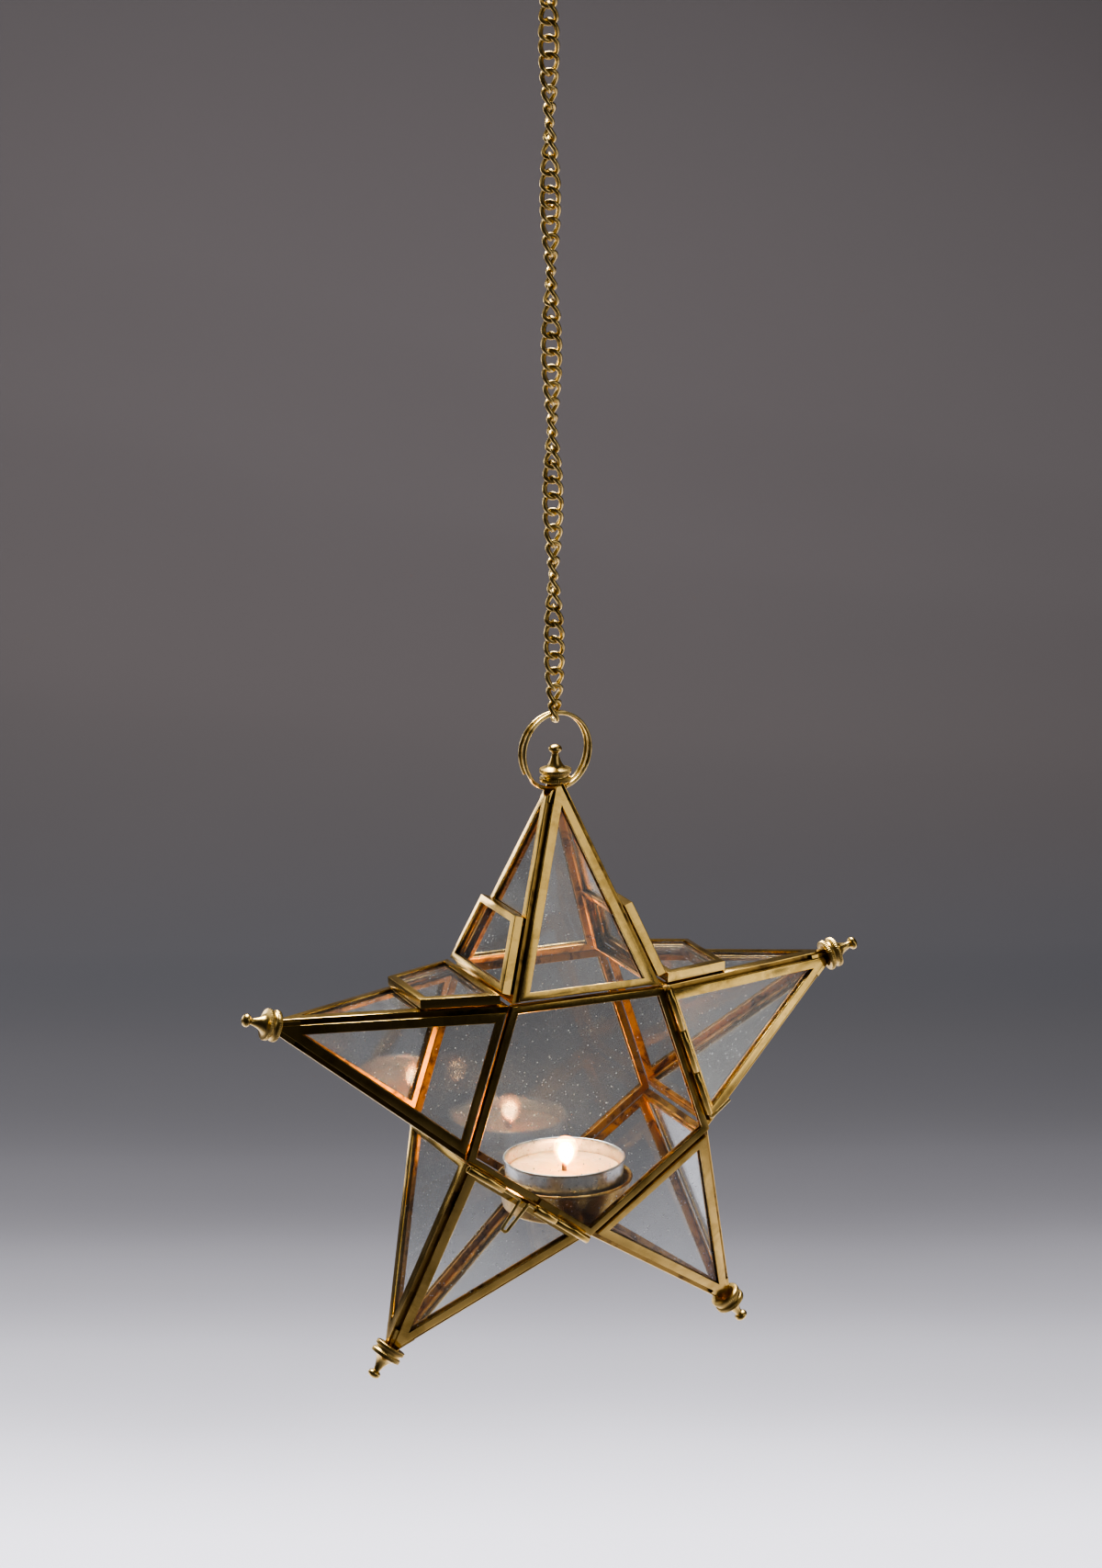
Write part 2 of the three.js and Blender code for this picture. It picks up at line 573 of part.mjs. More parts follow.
// The latch lies along the seam between the door and the lower left arm, and runs from the left corner.
function latch() {
  const group = new THREE.Group();
  group.rotation.y = ARMS.indexOf("lower_left") * ARM_TURN * RAD;
  const axis = new THREE.Group();
  const seat = grooveSeat(LATCH_KNUCKLE);
  axis.position.set(SIDE / 2, seat.x, seat.y);
  axis.rotation.y = Math.PI;
  group.add(axis);

  const bore = LATCH_WIRE / 2 + CLEARANCE;
  const guideEnd = CORNER_GAP + LATCH_GUIDE_LENGTH;
  const nearLeg = guideEnd + CLEARANCE + LATCH_TRAVEL + LATCH_WIRE / 2;
  const farLeg = nearLeg + LATCH_LEGS;
  const knuckleStart = farLeg + LATCH_WIRE / 2 + LATCH_LEAD;
  const keeperStart = knuckleStart + LATCH_KNUCKLE_LENGTH + CLEARANCE;
  const keeperLength = SIDE - 2 * CORNER_GAP - keeperStart;

  const guide = named("latch_guide_tube", tubeAlongX(LATCH_GUIDE / 2, bore, LATCH_GUIDE_LENGTH), brass);
  guide.position.x = CORNER_GAP;
  const keeper = named("latch_end_tube", tubeAlongX(LATCH_KEEPER / 2, bore, keeperLength), brass);
  keeper.position.x = keeperStart;

  // The knuckle is tied to the door by a flat tab on the door's came.
  const tabStart = (bore + LATCH_KNUCKLE / 2) / 2;
  const tabEnd = seat.y - APOTHEM + CAME_LIP;
  const tabFace = FRONT - CLEARANCE - seat.x;
  const tab = new THREE.BoxGeometry(LATCH_KNUCKLE_LENGTH, LATCH_TAB, tabEnd - tabStart);
  tab.translate(LATCH_KNUCKLE_LENGTH / 2, tabFace - LATCH_TAB / 2, (tabStart + tabEnd) / 2);
  const tube = tubeAlongX(LATCH_KNUCKLE / 2, bore, LATCH_KNUCKLE_LENGTH);
  const knuckle = named("latch_knuckle", shapeOf(solid(tube).add(solid(tab))), brass);
  knuckle.position.x = knuckleStart;

  const boltStart = CORNER_GAP + LATCH_TRAVEL + CLEARANCE;
  const boltEnd = knuckleStart + LATCH_TRAVEL - CLEARANCE;
  const run = [
    new THREE.Vector3(boltStart, 0, 0),
    new THREE.Vector3(nearLeg, 0, 0),
    new THREE.Vector3(nearLeg, 0, -LATCH_HANDLE),
    new THREE.Vector3(farLeg, 0, -LATCH_HANDLE),
    new THREE.Vector3(farLeg, 0, 0),
    new THREE.Vector3(boltEnd, 0, 0),
  ];
  const boltWire = wireAlong(bentPath(run, LATCH_BEND), LATCH_WIRE, BOLT_STEPS, THIN_WIRE_FACETS);
  const bolt = named("latch_bolt", boltWire, brightBrass);
  axis.add(guide, keeper, knuckle, bolt);
  return group;
}

// The candle cup stands on the two came strips that meet in the lowest valley.
function candle() {
  const group = new THREE.Group();
  const stripReach = CAME_THICKNESS / Math.cos(Math.atan2(SIDE / 2, ARM_HEIGHT));
  const seat = stripReach * Math.sin((ARM_TURN / 2) * RAD) - CORNER_RADIUS;
  group.position.set(CUP_SHIFT, 0, seat + CLEARANCE);

  const foot = TEALIGHT_RADIUS - TEALIGHT_TAPER + CLEARANCE;
  const inner = TEALIGHT_RADIUS + CUP_PLAY;
  const cup = [
    [0, 0],
    [foot + CUP_WALL - CUP_FOOT_ROUND, 0],
    [foot + CUP_WALL, CUP_FOOT_ROUND],
    [CUP_RIM_RADIUS, CUP_HEIGHT - 2 * CUP_LIP],
    [CUP_RIM_RADIUS + CUP_LIP, CUP_HEIGHT - 1.5 * CUP_LIP],
    [CUP_RIM_RADIUS + CUP_LIP, CUP_HEIGHT - 0.5 * CUP_LIP],
    [CUP_RIM_RADIUS, CUP_HEIGHT],
    [inner, CUP_HEIGHT],
    [foot, CUP_WALL],
    [0, CUP_WALL],
  ];
  group.add(named("candle_cup", turned(cup, CUP_FACETS), brass));

  const tealight = new THREE.Group();
  tealight.position.z = CUP_WALL + CLEARANCE;
  const bottom = TEALIGHT_RADIUS - TEALIGHT_TAPER - CLEARANCE;
  const rim = TEALIGHT_RADIUS - FOIL_ROLL;
  const foilCup = [
    [0, 0],
    [bottom, 0],
    [rim, TEALIGHT_HEIGHT - 2 * FOIL_ROLL],
    [TEALIGHT_RADIUS, TEALIGHT_HEIGHT - 1.5 * FOIL_ROLL],
    [TEALIGHT_RADIUS, TEALIGHT_HEIGHT],
    [rim - FOIL, TEALIGHT_HEIGHT],
    [bottom - FOIL, FOIL],
    [0, FOIL],
  ];
  tealight.add(named("tealight_cup", turned(foilCup, CUP_FACETS), aluminium));

  const waxFoot = FOIL + CLEARANCE;
  const waxTop = TEALIGHT_HEIGHT - WAX_BELOW_RIM;
  const waxBore = WICK_RADIUS + CLEARANCE;
  const waxWide = rim - FOIL - 2 * CLEARANCE - TEALIGHT_TAPER * (WAX_BELOW_RIM / TEALIGHT_HEIGHT);
  const wax = [
    [waxBore, waxFoot],
    [bottom - FOIL - CLEARANCE, waxFoot],
    [waxWide, waxTop],
    [waxBore, waxTop - CLEARANCE],
    [waxBore, waxFoot],
  ];
  tealight.add(named("wax", turned(wax, CUP_FACETS), waxWhite));

  const wickRun = [
    new THREE.Vector3(0, 0, waxFoot),
    new THREE.Vector3(0, 0, waxTop + WICK_ABOVE_WAX / 2),
    new THREE.Vector3(WICK_LEAN, 0, waxTop + WICK_ABOVE_WAX),
  ];
  const wickPath = bentPath(wickRun, WICK_RADIUS);
  tealight.add(named("wick", wireAlong(wickPath, 2 * WICK_RADIUS, WICK_STEPS, WIRE_FACETS), wickBrown));
  group.add(tealight);
  return group;
}

// The split ring: two turns side by side, the first one behind, joined by one short crossing. The turns
// are close together at the foot and the top of the ring and farther apart at its sides.
class SplitRingCurve extends THREE.Curve {
  getPoint(t, target = new THREE.Vector3()) {
    const swept = t * RING_LENGTH;
    const crossing = (swept - (360 - RING_CROSSING)) / RING_CROSSING;
    const side = 0.5 - THREE.MathUtils.clamp(crossing, 0, 1);
    const angle = (RING_START - swept) * RAD;
    const spread = RING_SPREAD * Math.abs(Math.cos(angle));
    const depth = side * (RING_WIRE + RING_TURN_GAP + spread);
    return target.set(RING_RADIUS * Math.cos(angle), depth, RING_RADIUS * Math.sin(angle));
  }
}

function splitRing() {
  const wire = wireAlong(new SplitRingCurve(), RING_WIRE, RING_STEPS, THIN_WIRE_FACETS);
  const mesh = named("split_ring", wire, brightBrass);
  mesh.rotation.z = RING_TURN * RAD;
  mesh.position.z = RING_CENTRE;
  return mesh;
}

// One curb link about its own middle: a closed loop of wire, twisted from top to bottom.
function link() {
  const straight = LINK_HEIGHT / 2 - LINK_BEND;
  const positions = [];
  const index = [];
  for (let i = 0; i < LINK_STEPS; i++) {
    const around = (2 * Math.PI * i) / LINK_STEPS;
    const bias = Math.abs(Math.sin(around)) < 1e-6 ? 0 : Math.sign(Math.sin(around));
    for (let j = 0; j < LINK_FACETS; j++) {
      const turn = (2 * Math.PI * j) / LINK_FACETS;
      const reach = LINK_BEND + (LINK_WIRE / 2) * Math.cos(turn);
      const height = reach * Math.sin(around) + bias * straight;
      const across = reach * Math.cos(around);
      const out = (LINK_WIRE / 2) * Math.sin(turn);
      const twist = LINK_TWIST * (0.5 - height / LINK_HEIGHT) * RAD;
      const x = across * Math.cos(twist) - out * Math.sin(twist);
      const y = across * Math.sin(twist) + out * Math.cos(twist);
      positions.push(x, y, height);
      const a = i * LINK_FACETS + j;
      const b = ((i + 1) % LINK_STEPS) * LINK_FACETS + j;
      const c = ((i + 1) % LINK_STEPS) * LINK_FACETS + ((j + 1) % LINK_FACETS);
      const d = i * LINK_FACETS + ((j + 1) % LINK_FACETS);
      index.push(a, c, b, a, d, c);
    }
  }
  const geometry = new THREE.BufferGeometry();
  geometry.setAttribute("position", new THREE.Float32BufferAttribute(positions, 3));
  geometry.setIndex(index);
  return geometry;
}

// One length of chain: links that hang in each other, each a little further round, and are joined where
// they touch.
function chainLength(name, order) {
  const top = FIRST_LINK_TOP - order * LENGTH_DROP;
  let chain = null;
  for (let i = 0; i < LINKS_IN_LENGTH; i++) {
    const turn = (order * LINKS_IN_LENGTH + i) * LINK_TURN * RAD;
    const middle = top - LINK_HEIGHT / 2 - i * LINK_PITCH;
    const one = solid(link().rotateZ(turn).translate(0, 0, middle));
    chain = chain ? chain.add(one) : one;
  }
  return named(name, shapeOf(chain), brightBrass);
}

// The S-hook, in the plane of X = 0: an open crook above and a closed eye below.
class HookCurve extends THREE.Curve {
  getPoint(t, target = new THREE.Vector3()) {
    const crookRun = HOOK_CROOK * HOOK_CROOK_TURN;
    const eyeRun = HOOK_EYE * HOOK_EYE_TURN;
    const run = t * (crookRun + eyeRun);
    if (run < crookRun) {
      const angle = (270 - HOOK_CROOK_TURN + run / HOOK_CROOK) * RAD;
      return target.set(0, HOOK_CROOK * Math.cos(angle), CROOK_CENTRE + HOOK_CROOK * Math.sin(angle));
    }
    const angle = (90 - (run - crookRun) / HOOK_EYE) * RAD;
    return target.set(0, HOOK_EYE * Math.cos(angle), EYE_CENTRE + HOOK_EYE * Math.sin(angle));
  }
}

const lantern = new THREE.Group();
lantern.position.z = STAR_CENTRE;
ARMS.forEach((_, arm) => lantern.add(armGroup(arm)));
lantern.add(door(), back(), hinge(), latch(), candle());

const root = new THREE.Group();
const hookWire = wireAlong(new HookCurve(), HOOK_WIRE, HOOK_STEPS, WIRE_FACETS);
root.add(named("s_hook", hookWire, brightBrass));
CHAIN_LENGTHS.forEach((name, order) => root.add(chainLength(name, order)));
root.add(splitRing(), lantern);

export default root;
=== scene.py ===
import math

import bmesh
import bpy
from mathutils import Matrix, Vector


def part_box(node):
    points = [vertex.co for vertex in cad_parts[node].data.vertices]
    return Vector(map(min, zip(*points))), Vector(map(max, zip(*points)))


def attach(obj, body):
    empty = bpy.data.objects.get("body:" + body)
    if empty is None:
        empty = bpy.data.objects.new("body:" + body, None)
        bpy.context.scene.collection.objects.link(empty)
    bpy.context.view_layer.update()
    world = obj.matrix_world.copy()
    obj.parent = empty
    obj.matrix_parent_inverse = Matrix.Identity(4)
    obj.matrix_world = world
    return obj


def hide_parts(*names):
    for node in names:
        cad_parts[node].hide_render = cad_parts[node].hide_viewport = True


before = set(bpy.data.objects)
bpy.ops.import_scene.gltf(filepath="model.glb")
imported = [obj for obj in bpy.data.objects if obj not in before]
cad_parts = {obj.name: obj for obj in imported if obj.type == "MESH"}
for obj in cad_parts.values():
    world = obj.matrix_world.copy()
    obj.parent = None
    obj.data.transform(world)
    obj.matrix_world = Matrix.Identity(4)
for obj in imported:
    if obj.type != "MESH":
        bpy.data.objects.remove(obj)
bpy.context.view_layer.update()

# Sizes in millimetres, as in the solids. The wire of the links is thicker here, the wick thinner
MM = 0.001
CLEARANCE = 0.3
SIDE = 50.0
DEPTH = 50.0
TIP_RADIUS = 103.1
TIP_SOLID = 12.4
CAME_THICKNESS = 3.2
CAME_WALL = 0.7
CAME_SLOPE = 0.2  # by which a strip's outer edge lies lower than its lip
CAME_LIP = 2.3
GLASS_THICKNESS = 1.5
SOLDER_BITE = 0.45  # how far two panels of an arm run into each other in the solids
EDGE_SETBACK = 1.75  # from the ideal edge of an arm to the square edge of a panel's came
LID_LENGTH = 25.4
FINIAL_BASE = TIP_RADIUS - 6.8
FLANGE_RADIUS = 4.95
MILLING_RIDGES = 44
MILLING_DEPTH = 0.26
RING_OUTER = 25.0
RING_WIRE = 1.25
RING_STEP = 1.45
RING_SPREAD = 0.9
RING_LENGTH = 645.0
RING_CROSSING = 30.0
RING_START = 210.0
RING_TURN = 10.0
LINK_WIRE = 1.5
LINK_BEND = 2.5
LINK_PITCH = 4.9
LINK_FUSE = 0.3
LINKS_IN_LENGTH = 16
CHAIN_LENGTHS = ("chain_upper", "chain_middle", "chain_lower")
CHAIN_HALF_TURNS = 5
HOOK_WIRE = 2.0
HOOK_CROOK = 7.0
HOOK_EYE = 4.0
HOOK_CROOK_START = 20.0
HOOK_CROOK_TURN = 250.0
HOOK_EYE_TURN = 315.0
HINGE_TUBE = 2.2
HINGE_PIN = 1.0
HINGE_BARE = 5.4
PIN_HOOK = 8.2
PIN_HOOK_ANGLE = 69.0
CORNER_GAP = 0.6
LATCH_WIRE = 1.0
LATCH_GUIDE = 2.6
LATCH_GUIDE_LENGTH = 14.0
LATCH_KNUCKLE = 2.8
LATCH_KNUCKLE_LENGTH = 8.0
LATCH_KEEPER = 2.5
LATCH_TRAVEL = 6.0
LATCH_LEGS = 1.8
LATCH_LEAD = 4.0
LATCH_HANDLE = 10.8
LATCH_FLARE = 1.4  # how much farther apart the legs of the handle are at the bolt
LATCH_TAB = 0.5  # thickness of the tab that joins the knuckle to the door
LATCH_BEND = 0.8
TEALIGHT_RADIUS = 19.0
TEALIGHT_HEIGHT = 15.2
WAX_BELOW_RIM = 4.6
CUP_HEIGHT = 10.3
PLEATS = 64
PLEAT_DEPTH = 0.03
WICK_RADIUS = 0.75
WICK_FOOT = 0.7
WICK_KNEE = 3.0  # above the wax, as the tip
WICK_TIP = 6.0
WICK_BEND = 1.4
WICK_LEAN = 1.2
CUP_FLOOR = 1.1  # foot of the tealight above the foot of the cup

# Facets of round pieces, and steps along bent wires
HOOK_SIDES = 20
HOOK_STEPS = 60
LINK_SIDES = 12
LINK_STEPS = 40
RING_SIDES = 16
RING_STEPS = 180
DRILL_SIDES = 32
TUBE_SIDES = 28
PIN_SIDES = 14
BEND_STEPS = 8
CUP_SIDES = 96
FOIL_SIDES = 192
WICK_SIDES = 12
FLAME_SIDES = 32
FLAME_STEPS = 24

# Worked out from the sizes and from the places of the solids
ARMS = ("top", "right", "lower_right", "lower_left", "left")
SECTOR = 360 / len(ARMS)  # degrees from one arm to the next
APOTHEM = SIDE / 2 / math.tan(math.radians(SECTOR / 2))
ARM_HEIGHT = TIP_RADIUS - APOTHEM
SLOPE = math.hypot(ARM_HEIGHT, SIDE / 2)
PANEL_RADIUS = (APOTHEM - CLEARANCE / 2) / math.cos(math.radians(SECTOR / 2))
EDGE_ANGLE = math.pi - math.acos((SIDE / 2 / SLOPE) ** 2)
EDGE_INSET = CAME_THICKNESS / math.tan(EDGE_ANGLE / 2) - SOLDER_BITE
EDGE_LIP = CAME_LIP + EDGE_INSET - EDGE_SETBACK
BASE_LEAN = SIDE / 2 / ARM_HEIGHT
FOOT = CLEARANCE / 2 * SLOPE / ARM_HEIGHT + CAME_THICKNESS * BASE_LEAN
RING_RADIUS = (RING_OUTER - RING_WIRE) / 2
LINK_COUNT = LINKS_IN_LENGTH * len(CHAIN_LENGTHS)
LINK_TURN = (180 * CHAIN_HALF_TURNS + RING_TURN) / (LINK_COUNT - 1)
STAR_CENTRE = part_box("door_frame")[0].z / MM + PANEL_RADIUS
RING_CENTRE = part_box("split_ring")[1].z / MM - RING_OUTER / 2
RING_HOLE = RING_CENTRE - RING_RADIUS - STAR_CENTRE
CUP_LOW, CUP_HIGH = (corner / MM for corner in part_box("candle_cup"))
CUP_MIDDLE = (CUP_LOW.x + CUP_HIGH.x) / 2

# Camera: the photograph's viewing angle
YAW = math.radians(22.598)
PITCH = math.radians(14.059)
ROLL = math.radians(-0.526)
SHIFT_X = 2.23
SHIFT_Y = -92.44
DISTANCE = 1422.4
FOCAL_PX = 5000.0
IMAGE_LONG = 1707.0
SENSOR = 36.0


def make_camera():
    forward = Vector((math.sin(YAW) * math.cos(PITCH), math.cos(YAW) * math.cos(PITCH), -math.sin(PITCH)))
    right = Vector((math.cos(YAW), -math.sin(YAW), 0.0))
    up = right.cross(forward)
    across = right * math.cos(ROLL) + up * math.sin(ROLL)
    above = up * math.cos(ROLL) - right * math.sin(ROLL)
    place = Vector((0, 0, STAR_CENTRE)) - across * SHIFT_X - above * SHIFT_Y - forward * DISTANCE
    data = bpy.data.cameras.new("camera")
    data.sensor_width = SENSOR
    data.lens = FOCAL_PX * SENSOR / IMAGE_LONG
    data.clip_start = 0.05
    camera = bpy.data.objects.new("camera", data)
    turn = Matrix((across, above, -forward)).transposed()
    camera.matrix_world = Matrix.Translation(place * MM) @ turn.to_4x4()
    bpy.context.scene.collection.objects.link(camera)
    bpy.context.scene.camera = camera


make_camera()


# Materials
def new_material(name):
    material = bpy.data.materials.new(name)
    material.use_nodes = True
    tree = material.node_tree
    return material, tree, tree.nodes["Principled BSDF"]


def add(tree, kind, **values):
    node = tree.nodes.new(kind)
    for key, value in values.items():
        if key in node.inputs:
            node.inputs[key].default_value = value
        else:
            setattr(node, key, value)
    return node


def noise(tree, coordinates, scale, detail=4.0, roughness=0.6, distortion=0.0):
    node = add(
        tree, "ShaderNodeTexNoise", Scale=scale, Detail=detail, Roughness=roughness, Distortion=distortion
    )
    tree.links.new(coordinates, node.inputs["Vector"])
    return node


def ramp(tree, factor, stops):
    node = tree.nodes.new("ShaderNodeValToRGB")
    while len(node.color_ramp.elements) < len(stops):
        node.color_ramp.elements.new(0.5)
    for element, (place, color) in zip(node.color_ramp.elements, stops):
        element.position = place
        element.color = (*color, 1.0)
    tree.links.new(factor, node.inputs["Fac"])
    return node


def grey(value):
    return (value, value, value)


# Textures in scene units: features in a metre, and heights in metres
SHEET_DENTS = 48.0
DENT_HEIGHT = 0.002
GRAIN_HEIGHT = 0.0002
GLASS_SMEARS = 32.0
GLASS_POWDER = 900.0
GLASS_SPECKS = 430.0
GLASS_WAVES = 18.0
FOIL_GRAIN = 700.0
WAX_MOTTLE = 160.0
WICK_FIBRES = 1800.0


def brass_material(name, bright, dull, rough, patch, grain, bump, wave=0.0):
    """Brass with patches of tarnish and a fine grain. A wave bends the reflections of thin sheet."""
    material, tree, shader = new_material(name)
    coordinates = add(tree, "ShaderNodeTexCoord").outputs["Object"]
    patches = noise(tree, coordinates, patch, detail=6.0, roughness=0.65, distortion=0.6)
    color = ramp(tree, patches.outputs["Fac"], [(0.36, dull), (0.52, bright), (0.75, bright)])
    tree.links.new(color.outputs["Color"], shader.inputs["Base Color"])
    fine = noise(tree, coordinates, grain, detail=5.0, roughness=0.7)
    satin = ramp(tree, fine.outputs["Fac"], [(0.3, grey(rough[0])), (0.75, grey(rough[1]))])
    tree.links.new(satin.outputs["Color"], shader.inputs["Roughness"])
    shader.inputs["Metallic"].default_value = 1.0
    relief = add(tree, "ShaderNodeBump", Strength=bump, Distance=GRAIN_HEIGHT)
    tree.links.new(fine.outputs["Fac"], relief.inputs["Height"])
    tree.links.new(relief.outputs["Normal"], shader.inputs["Normal"])
    if wave:
        dents = noise(tree, coordinates, SHEET_DENTS, detail=1.0, roughness=0.5)
        bend = add(tree, "ShaderNodeBump", Strength=wave, Distance=DENT_HEIGHT)
        tree.links.new(dents.outputs["Fac"], bend.inputs["Height"])
        tree.links.new(bend.outputs["Normal"], relief.inputs["Normal"])
    return material


def glass_material():
    """Thin clear glass with a smeared film, fine powder and specks of dust that light doesn't pass."""
    material, tree, shader = new_material("dusty_glass")
    coordinates = add(tree, "ShaderNodeTexCoord").outputs["Object"]
    smears = noise(tree, coordinates, GLASS_SMEARS, detail=6.0, roughness=0.62, distortion=1.6)
    stops = [(0.3, (0.92, 0.935, 0.93)), (0.7, (0.955, 0.97, 0.965))]
    color = ramp(tree, smears.outputs["Fac"], stops)
    tree.links.new(color.outputs["Color"], shader.inputs["Base Color"])
    film = ramp(tree, smears.outputs["Fac"], [(0.36, grey(0.99)), (0.72, grey(0.965))])
    grains = noise(tree, coordinates, GLASS_POWDER, detail=3.0, roughness=0.7)
    powder = ramp(tree, grains.outputs["Fac"], [(0.56, grey(1.0)), (0.74, grey(0.95))])
    dust = add(tree, "ShaderNodeTexVoronoi", Scale=GLASS_SPECKS, Randomness=1.0)
    tree.links.new(coordinates, dust.inputs["Vector"])
    specks = ramp(tree, dust.outputs["Distance"], [(0.07, grey(0.3)), (0.115, grey(1.0))])
    dusty = add(tree, "ShaderNodeMath", operation="MULTIPLY")
    tree.links.new(film.outputs["Color"], dusty.inputs[0])
    tree.links.new(powder.outputs["Color"], dusty.inputs[1])
    through = add(tree, "ShaderNodeMath", operation="MULTIPLY")
    tree.links.new(dusty.outputs["Value"], through.inputs[0])
    tree.links.new(specks.outputs["Color"], through.inputs[1])
    tree.links.new(through.outputs["Value"], shader.inputs["Transmission Weight"])
    shader.inputs["IOR"].default_value = 1.55
    shader.inputs["Roughness"].default_value = 0.0
    wave = noise(tree, coordinates, GLASS_WAVES, detail=2.0, roughness=0.4)
    relief = add(tree, "ShaderNodeBump", Strength=0.004, Distance=0.002)
    tree.links.new(wave.outputs["Fac"], relief.inputs["Height"])
    tree.links.new(relief.outputs["Normal"], shader.inputs["Normal"])
    clear = add(tree, "ShaderNodeBsdfTransparent")
    clear.inputs["Color"].default_value = (0.9, 0.91, 0.91, 1.0)
    path = add(tree, "ShaderNodeLightPath")
    mix = add(tree, "ShaderNodeMixShader")
    tree.links.new(path.outputs["Is Shadow Ray"], mix.inputs["Fac"])
    tree.links.new(shader.outputs["BSDF"], mix.inputs[1])
    tree.links.new(clear.outputs["BSDF"], mix.inputs[2])
    tree.links.new(mix.outputs["Shader"], tree.nodes["Material Output"].inputs["Surface"])
    return material


def foil_material():
    material, tree, shader = new_material("pressed_foil")
    coordinates = add(tree, "ShaderNodeTexCoord").outputs["Object"]
    grain = noise(tree, coordinates, FOIL_GRAIN, detail=4.0, roughness=0.6)
    color = ramp(tree, grain.outputs["Fac"], [(0.3, grey(0.62)), (0.7, grey(0.82))])
    rough = ramp(tree, grain.outputs["Fac"], [(0.3, grey(0.25)), (0.7, grey(0.42))])
    tree.links.new(color.outputs["Color"], shader.inputs["Base Color"])
    tree.links.new(rough.outputs["Color"], shader.inputs["Roughness"])
    shader.inputs["Metallic"].default_value = 1.0
    return material


def wax_material():
    """Wax with painted candlelight: it glows and turns more orange towards the flame, and pales towards the
    rim.
    """
    material, tree, shader = new_material("candle_wax")
    coordinates = add(tree, "ShaderNodeTexCoord").outputs["Object"]
    flat = add(tree, "ShaderNodeVectorMath", operation="MULTIPLY")
    flat.inputs[1].default_value = (1.0, 1.0, 0.0)
    tree.links.new(coordinates, flat.inputs[0])
    reach = add(tree, "ShaderNodeVectorMath", operation="DISTANCE")
    reach.inputs[1].default_value = (CUP_MIDDLE * MM, 0.0, 0.0)
    tree.links.new(flat.outputs["Vector"], reach.inputs[0])
    mottle = noise(tree, coordinates, WAX_MOTTLE, detail=4.0, roughness=0.55)
    uneven = add(tree, "ShaderNodeMath", operation="MULTIPLY_ADD")
    uneven.inputs[1].default_value = 4.0 * MM
    tree.links.new(mottle.outputs["Fac"], uneven.inputs[0])
    tree.links.new(reach.outputs["Value"], uneven.inputs[2])
    share = add(tree, "ShaderNodeMapRange")
    share.inputs["From Max"].default_value = TEALIGHT_RADIUS * MM
    tree.links.new(uneven.outputs["Value"], share.inputs["Value"])
    # Painted candlelight: the base colour is more orange near the flame and paler towards the rim
    stops = [(0.15, (0.66, 0.37, 0.15)), (0.45, (0.66, 0.41, 0.22)), (0.95, (0.66, 0.46, 0.31))]
    color = ramp(tree, share.outputs["Result"], stops)
    tree.links.new(color.outputs["Color"], shader.inputs["Base Color"])
    # Painted glow: the wax emits warm light near the flame in place of the candle's light
    painted_wax_glow = ramp(tree, share.outputs["Result"], [(0.1, (1.0, 0.42, 0.1)), (0.9, (0.8, 0.34, 0.11))])
    tree.links.new(painted_wax_glow.outputs["Color"], shader.inputs["Emission Color"])
    shader.inputs["Emission Strength"].default_value = 0.55
    rough = ramp(tree, mottle.outputs["Fac"], [(0.3, grey(0.16)), (0.7, grey(0.35))])
    tree.links.new(rough.outputs["Color"], shader.inputs["Roughness"])
    shader.inputs["Subsurface Weight"].default_value = 0.6
    shader.inputs["Subsurface Radius"].default_value = (1.0, 0.5, 0.3)
    shader.inputs["Subsurface Scale"].default_value = 0.004
    return material


def wick_material():
    material, tree, shader = new_material("charred_wick")
    coordinates = add(tree, "ShaderNodeTexCoord").outputs["Object"]
    fibres = noise(tree, coordinates, WICK_FIBRES, detail=3.0, roughness=0.6)
    color = ramp(tree, fibres.outputs["Fac"], [(0.3, (0.03, 0.018, 0.012)), (0.7, (0.16, 0.08, 0.045))])
    tree.links.new(color.outputs["Color"], shader.inputs["Base Color"])
    shader.inputs["Roughness"].default_value = 0.9
    return material


def flame_material(name, foot, tip, stops, strength, cover):
    material, tree, shader = new_material(name)
    coordinates = add(tree, "ShaderNodeTexCoord").outputs["Object"]
    parts = add(tree, "ShaderNodeSeparateXYZ")
    tree.links.new(coordinates, parts.inputs["Vector"])
    height = add(tree, "ShaderNodeMapRange")
    height.inputs["From Min"].default_value = foot * MM
    height.inputs["From Max"].default_value = tip * MM
    tree.links.new(parts.outputs["Z"], height.inputs["Value"])
    color = ramp(tree, height.outputs["Result"], stops)
    tree.links.new(color.outputs["Color"], shader.inputs["Emission Color"])
    tree.links.new(color.outputs["Color"], shader.inputs["Base Color"])
    shader.inputs["Emission Strength"].default_value = strength
    shader.inputs["Roughness"].default_value = 0.6
    shader.inputs["Alpha"].default_value = cover
    return material


UMBER = (0.42, 0.29, 0.1)
came_brass = brass_material(
    "aged_came_brass", bright=(0.73, 0.515, 0.195), dull=(0.5, 0.34, 0.115), rough=(0.15, 0.27),
    patch=75.0, grain=1600.0, bump=0.03, wave=0.55,
)
# Painted shade and candlelight: the came's inward faces are darker, redder brass, standing in for shade
# inside the lantern and the candle's warm light
inner_shade_brass = brass_material(
    "came_brass_painted_inner_shade", bright=(0.4, 0.21, 0.06), dull=(0.09, 0.04, 0.015), rough=(0.32, 0.5),
    patch=190.0, grain=900.0, bump=0.05,
)
